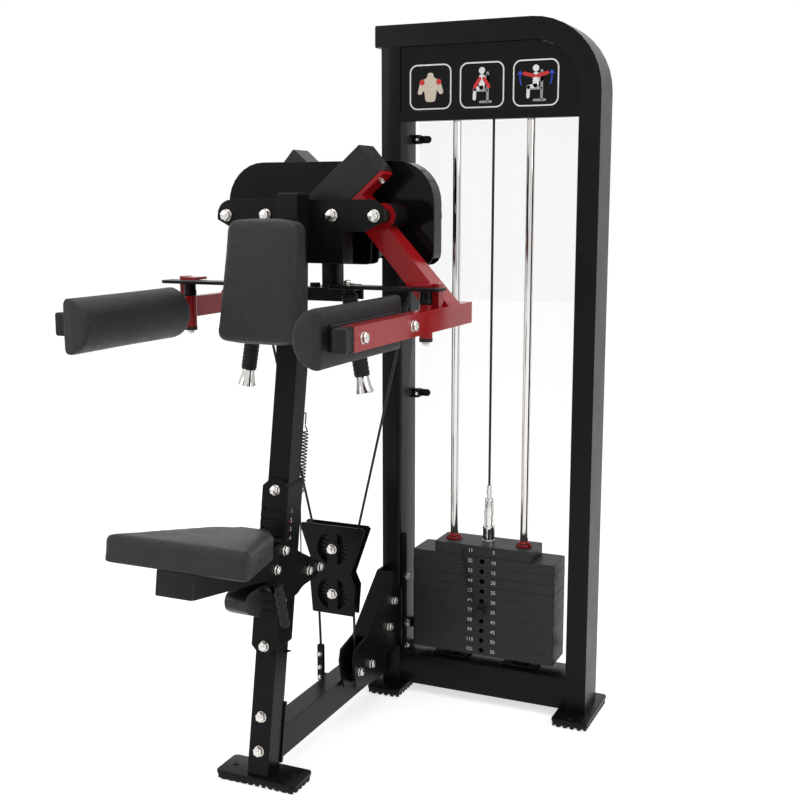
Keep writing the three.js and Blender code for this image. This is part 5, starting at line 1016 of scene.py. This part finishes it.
barCaps = {
    "right": merged(barSlab(0.0, 5, -805.6, -771.9, 3.0), *[barSlab(0.8, 4, y, y + 3.4, 0.6) for y in (-778, -786)]),
    "left": barSlab(0.6, 5, arm["ends"]["left"] - 4, arm["ends"]["left"] + 12, 2.0),
}
sleeveLine = [(8.2, 944), (13.6, 944), (14.4, 945.2), (14.4, 951), (13.6, 952), (8.2, 952)]
for side, sign in (("right", 1), ("left", -1)):

    def slimmed(points):
        # the tube above the bar loses depth at its rear face
        behind = (np.abs(points[:, 1] - arm["rear"][side]) < 3) & (points[:, 2] > arm["tubeLow"])
        points[:, 1] -= arm["slimmer"] * behind
        return points

    shell = dressed("arm_" + side, "redEnamel", 1.0, cuts=(((0, arm["ends"][side], 0), (0, -1, 0)),), moved=slimmed)
    pivot = np.array([sign * arm["pivot"][0], arm["pivot"][1]])
    repainted(shell, "powderCoat", lambda spots, normals: (np.abs(normals[:, 1]) < 0.5) & (
        np.linalg.norm(spots[:, [0, 2]] - pivot, axis=1) < arm["hub"]))
    dressed("counterweight_" + side, "weightEnamelAndRibHighlight", 1.6)
    dressed("cam_" + side, "redEnamel", 0.8)
    heads = merged(*[hexBolt((bar["boltX"], y, bar["boltZ"]), (1, 0, 0), 0.95) for y in bar["bolts"]])
    x, z = onArm(34, -67.4)
    clamp = hexBolt((x, arm["tubeMiddle"][side], z), (math.sin(arm["lean"]), 0, -math.cos(arm["lean"])), 0.6)
    plug = barSlab(-0.4, 3, arm["plug"][side] - 2, arm["plug"][side] + 2.4, 1.4)
    ring = upright(sleeve["x"], sleeve["y"], sleeveLine, 36, True)
    nut = hexBolt((sleeve["x"], sleeve["y"], sleeve["low"]), (0, 0, -1), 0.7)
    for name, shape, finish, body in (
            ("bar_bolts_", heads, "zincPlate", "_arm"), ("weight_bolt_", clamp, "zincPlate", "_arm"),
            ("bar_cap_", barCaps[side], "mouldedNylon", "_arm"), ("bar_plug_", plug, "mouldedNylon", "_arm"),
            ("sleeve_cap_", ring, "mouldedNylon", "_arm"), ("sleeve_nut_", nut, "zincPlate", "_handle")):
        addPiece(name + side, onSide(side, shape), finish, side + body)

# Handles: a plate that swings on the sleeve, a rubber grip and a flared metal end
handle = {"top": (108.0, -350.0, 1059.0), "end": (148.0, -350.0, 826.0), "plate": (1052, 1059), "radius": 17,
          "ring": 0.45, "ringPitch": 9}
plateLine = [(89, -400), (333, -400), (338, -395), (338, -352.3), (132, -352.3), (132, -326), (89, -326), (84, -331),
             (84, -395)]
collarLine = [(0, 948), (8, 948), (8, 1022.3), (13, 1022.3), (14.2, 1024), (14.2, 1034), (13, 1036), (13, 1052.5),
              (0, 1052.5)]
top, end = np.array(handle["top"]), np.array(handle["end"])
length = float(np.linalg.norm(end - top))
rubberLine = [(0, 1), (12, 1), (12, 20), (16.4, 22), (17, 25)] + [
    (handle["radius"] + handle["ring"] * math.sin(2 * math.pi * (h - 28) / handle["ringPitch"]), h)
    for h in np.linspace(28, length - 40, 90)] + [(16.4, length - 37), (0, length - 37)]
flareLine = [(r, length + h) for r, h in (
    (0, -37.2), (13.6, -37.2), (14.4, -35), (14.4, -30), (17, -14), (20.4, -3), (21, -1), (20, 0), (13, 0), (11, -4),
    (0, -4))]
for side in ("right", "left"):
    body = side + "_handle"
    plate = prism(softened(plateLine, 5, 4), *handle["plate"], "z", 1.2)
    collar = upright(sleeve["x"], sleeve["y"], collarLine, 40)
    addPiece("handle_plate_" + side, onSide(side, merged(plate, collar)), "powderCoat", body, ("handle_" + side,))
    for name, shape, finish in (
            ("handle_grip_", turned(lathe(rubberLine, 48), top, end - top), "gripRubber"),
            ("handle_flare_", turned(lathe(flareLine, 56), top, end - top), "hardChrome"),
            ("handle_screw_", hexBolt(handle["top"], (0, 0, 1), 0.75), "zincPlate")):
        addPiece(name + side, onSide(side, shape), finish, body)
print("arms and handles made")


# Pads: an outline with a quarter-round rim, drawn in at the waist and crowned on top
def cushionShape(outline, thickness, crown, rim, waist, foot, spacing=5.0):
    # rings run up the side, over the rim and in to the middle; the top is raised by
    # crown (1 - (u/U)^2)(1 - (v/V)^2)
    line = evenly(outline, spacing)
    middle = (line.max(0) + line.min(0)) / 2
    half = (line.max(0) - line.min(0)) / 2

    def lift(flat):
        share = np.clip(1 - ((flat - middle) / half) ** 2, 0, 1)
        return crown * share[:, 0] * share[:, 1]

    rings = []
    footLine = insetLine(line, foot)
    for share in (0.02, 0.35, 0.7, 0.94):
        rings.append(laid(middle + (footLine - middle) * share, 0, "z"))
    for a in np.radians(np.linspace(0, 90, 6)):
        rings.append(laid(insetLine(line, foot * (1 - math.sin(a))), foot * (1 - math.cos(a)), "z"))
    for share in np.linspace(0.12, 0.88, 8):
        z = foot + (thickness - rim - foot) * share
        rings.append(laid(insetLine(line, waist * math.sin(math.pi * share)), z, "z"))
    for a in np.radians(np.linspace(0, 90, 8)):
        flat = insetLine(line, rim * (1 - math.cos(a)))
        ring = laid(flat, thickness - rim * (1 - math.sin(a)), "z")
        ring[:, 2] += lift(flat) * math.sin(a)
        rings.append(ring)
    topLine = insetLine(line, rim)
    for share in (0.95, 0.88, 0.78, 0.66, 0.54, 0.42, 0.3, 0.18, 0.08, 0.01):
        flat = middle + (topLine - middle) * share
        ring = laid(flat, thickness, "z")
        ring[:, 2] += lift(flat)
        rings.append(ring)
    return gridShape(np.stack(rings))


def turnedX(shape, angle, at, drop):
    # lowered by drop, turned round x by angle and moved to at
    cosine, sine = math.cos(angle), math.sin(angle)
    turn = np.array([[1, 0, 0], [0, cosine, -sine], [0, sine, cosine]])
    return (shape[0] - np.array([0, 0, drop])) @ turn.T + np.asarray(at, float), shape[1]


# The skin is blown up by the foam's pressure; no point moves further than the cap, and the side
# that lies on the board doesn't move at all.
def stuffed(piece, voxel, pressure, cap, still):
    source = piece.data
    trial = newObject("trial", source.copy())
    remesh = trial.modifiers.new("remesh", "REMESH")
    remesh.mode = "VOXEL"
    remesh.voxel_size = voxel
    remesh.use_smooth_shade = True
    bpy.context.view_layer.update()
    fine = bpy.data.meshes.new_from_object(evaluated(trial))
    trial.modifiers.clear()
    trial.data = fine
    start = readVectors(fine.vertices, "co")
    cloth = trial.modifiers.new("cloth", "CLOTH")
    cloth.settings.use_pressure = True
    cloth.settings.uniform_pressure_force = pressure
    cloth.settings.effector_weights.gravity = 0
    cloth.settings.quality = 4
    scene = bpy.context.scene
    for number in range(1, 21):
        scene.frame_set(number)
    grown = evaluated(trial).data
    move = readVectors(grown.vertices, "co") - start
    length = np.linalg.norm(move, axis=1)
    move *= np.minimum(1, cap / np.maximum(length, 1e-9))[:, None]
    move *= np.clip(still(start * 1000 - stationOrigin) / 6, 0, 1)[:, None]
    fine.vertices.foreach_set("co", (start + move).ravel())
    fine.update()
    scene.frame_set(1)
    bpy.data.objects.remove(trial)
    fine.materials.clear()
    fine.materials.append(source.materials[0])
    fine.shade_smooth()
    piece.data = fine
    finer = piece.modifiers.new("finer", "SUBSURF")
    finer.levels = 1
    finer.render_levels = 1


def padFoot(look):
    # the middle of the pad's foot and the way that the pad faces
    normal = np.array([0, -math.sin(look["turn"]), math.cos(look["turn"])])
    return np.array(look["at"]) - look["foot"] * normal, normal


def cushion(name, outline, look, body, node):
    shape = cushionShape(outline, look["edge"], look["crown"], look["rim"], look["waist"], look["footCorner"])
    pad = addPiece(name, turnedX(shape, look["turn"], look["at"], look["foot"]), "padVinyl", body, (node,), 60)
    middle, normal = padFoot(look)
    stuffed(pad, *look["stuffing"], lambda points: (points - middle) @ normal - 3)
    return pad


# stuffing: the size of the skin's faces in metres, the pressure, and the cap in metres
seat = {"turn": -math.radians(8.804), "at": (0, -716.5, 579), "foot": 46.0, "edge": 53.0, "crown": 2.0, "rim": 12,
        "waist": 1.0, "footCorner": 8, "stuffing": (0.005, 3.0, 0.002)}
seatLine = softened([(-166, -151.5), (166, -151.5), (74, 105), (44, 122), (44, 149.5), (-44, 149.5), (-44, 122),
                     (-74, 105)], 24)
cushion("seat_cushion", seatLine, seat, "seat", "seat_pad")

chest = {"turn": math.radians(90 - 6.547), "at": (0, -535, 1075), "foot": 42.0, "edge": 48.0, "crown": 4.0, "rim": 14,
         "waist": 1.0, "footCorner": 7, "stuffing": (0.005, 3.0, 0.002)}
chestLine = softened([(-98, -129), (98, -129), (81, 126), (-81, 126)], 26)
cushion("chest_cushion", chestLine, chest, "frame", "chest_pad")
board = turnedX(prism(chestLine * 0.86, -10, 0, "z", 1.5), chest["turn"], chest["at"], chest["foot"])
addPiece("chest_board", board, "mouldedNylon", "frame")

forearm = {"flat": 281.0, "radius": 58.0, "corner": 10.0, "height": 994.0, "near": -453.0, "length": 353.0,
           "stuffing": (0.0045, 2.5, 0.0012)}
# a small arc at each corner of the flat side touches the flat and the large arc
inner = forearm["radius"] - forearm["corner"]
touch = math.pi / 2 + math.asin(forearm["corner"] / inner)
small = np.linspace(0, touch, 8)
cornerArc = polar(forearm["corner"], small)
cornerArc += (-forearm["corner"], math.sqrt(inner ** 2 - forearm["corner"] ** 2))
large = np.linspace(touch, 2 * math.pi - touch, 36)[1:-1]
halfRound = np.concatenate([cornerArc, polar(forearm["radius"], large), cornerArc[::-1] * (1, -1)])
halfRound += (forearm["flat"], 0)
forearmLine = softened(evenly(halfRound[::-1], 6), 2, 2)
roll, rollFaces = cushionShape(forearmLine, forearm["length"], 1.5, 4.0, 0.3, 4.0, 4.0)
roll = np.stack([roll[:, 0], forearm["near"] - roll[:, 2], forearm["height"] + roll[:, 1]], 1)
plank = slab(-776, -486, 969, 1019, 6, forearm["flat"] - 1.5, 291, "x", 1.5)
for side in ("right", "left"):
    pad = addPiece("forearm_roll_" + side, onSide(side, (roll, rollFaces)), "padVinyl", side + "_arm",
                   ("forearm_pad_" + side,), 60)
    stuffed(pad, *forearm["stuffing"], lambda points: forearm["flat"] - np.abs(points[:, 0]) - 2)
    addPiece("forearm_board_" + side, onSide(side, plank), "mouldedNylon", side + "_arm")
print("pads made")

# Seat carriage fittings, lever and spring
boltSet("carriage_bolts", [((sign * 40.1, y, z), (sign, 0, 0)) for sign in (1, -1) for y, z in (
    (-520, 507), (-556, 475), (-416, 433), (-366, 427))], "seat", 0.85)
# the plug closes the support tube's outer end, which lies "end" further along -y than the pad's middle
support = {"end": 133.5, "x": 41, "deep": 50}
seatFoot, seatUp = padFoot(seat)
plugMiddle = seatFoot + np.array([0, -1, seatUp[1]]) * support["end"] / seatUp[2]
plugPlate = slab(-support["x"], support["x"], -support["deep"], 0, 3, -6, 3.0, "z", 1.4)
addPiece("support_plug", facing(plugPlate, plugMiddle, (1, 0, 0), seatUp), "mouldedNylon", "seat")
leverY, leverZ = -570.4, 448.4
strapLine = np.array([(0, 0), (-68, 0), (-86, -7), (-91, -20), (-85, -38.4), (-36.4, -60)]) + (leverY, leverZ)
bend = [strapLine[0]]
for before, corner, after in zip(strapLine[:-2], strapLine[1:-1], strapLine[2:]):
    # a quadratic curve from the middle of one stretch to the middle of the next
    for t in np.linspace(0, 1, 7):
        bend.append((1 - t) ** 2 * (before + corner) / 2 + 2 * t * (1 - t) * corner + t * t * (corner + after) / 2)
bend = np.array(bend + [strapLine[-1]])
wayAlong = unit(np.gradient(bend, axis=0))
bendNormal = np.stack([-wayAlong[:, 1], wayAlong[:, 0]], 1)
strap = prism(np.concatenate([bend + bendNormal * 2, (bend - bendNormal * 2)[::-1]]), -22, 28, "x", 0.8)
cheek = prism(np.concatenate([bend[1:], [(leverY - 14, leverZ - 30)]]), 24.5, 27.5, "x", 0.6)
axle = turned(lathe([(0, -44.1), (6, -44.1), (6, 51), (0, 51)], 28), (0, leverY, leverZ), (1, 0, 0))
addPiece("lever_strap", merged(strap, cheek, axle), "darkSteel", "lever", ("seat_lever",))
gripWay = unit(np.array([0, 30.0, -104.0]))
gripLine = [(0, 0), (8, 0), (10.4, 2), (11, 5)] + [
    (10.2 + 1.1 * math.cos(2 * math.pi * h / 23), h) for h in np.linspace(6, 98, 70)] + [
    (10.4, 101), (8, 104), (0, 104)]
addPiece("lever_grip", turned(lathe(gripLine, 40), (51.4, leverY, leverZ), gripWay), "gripRubber", "lever")


columnMiddle = {"x": 22.0, "head": (-405.0, 880), "slope": 0.17796, "square": np.array([0, 0.98453, -0.17520])}


def behindColumn(z, off):
    # a point square to the leaning column's middle line, at the line's height z
    headY, headZ = columnMiddle["head"]
    y = headY - (headZ - z) * columnMiddle["slope"]
    return np.array([columnMiddle["x"], y, z]) + off * columnMiddle["square"]


spring = {"top": 746, "low": 619, "off": 38, "radius": 8.0, "wire": 1.5, "curls": 18}
coilTop, coilLow = [behindColumn(spring[end], spring["off"]) for end in ("top", "low")]
springAxis = unit(coilLow - coilTop)
springAcross = unit(np.cross(springAxis, (0, 1, 0)))
springThird = np.cross(springAxis, springAcross)
coil = helix(coilTop, coilLow, spring["radius"], spring["curls"], springAcross, springThird)
hook = [behindColumn(z, off) for z, off in ((785, 25.3), (785, 31), (785, 37.4), (782, 38), (756, 38))]
tail = [behindColumn(611, 38), (22, -416.8, 479), (22, -416.8, 432.8)]
springPath = joinedPath(stretch(hook, 4), coil, stretch(tail, 6))
addPiece("seat_spring_coil", helixTube(springPath, spring["wire"], springAxis + np.array([0.02, 0, 0])),
         "darkSteel", ("frame", "seat", coilTop, coilLow), ("seat_spring",), 60)
print("carriage and spring made")

# Floor
bpy.ops.mesh.primitive_plane_add(size=24, location=(0, 0, -0.0004))
floor = bpy.context.object
floor.name = "floor"
floor.data.materials.append(materials["paper"])
tree = materials["paper"].node_tree
output = next(node for node in tree.nodes if node.type == "OUTPUT_MATERIAL")
shader = output.inputs["Surface"].links[0].from_socket
glow = addNode(tree, "Emission", {"Color": (1, 1, 1, 1), "Strength": studio["floorHelp"]})
none = addNode(tree, "Emission", {"Color": (0, 0, 0, 1), "Strength": 0.0})
choose = addNode(tree, "MixShader", {0: shownRays(tree), 1: none.outputs[0], 2: glow.outputs[0]})
total = addNode(tree, "AddShader", {0: shader, 1: choose.outputs[0]})
tree.links.new(total.outputs[0], output.inputs["Surface"])
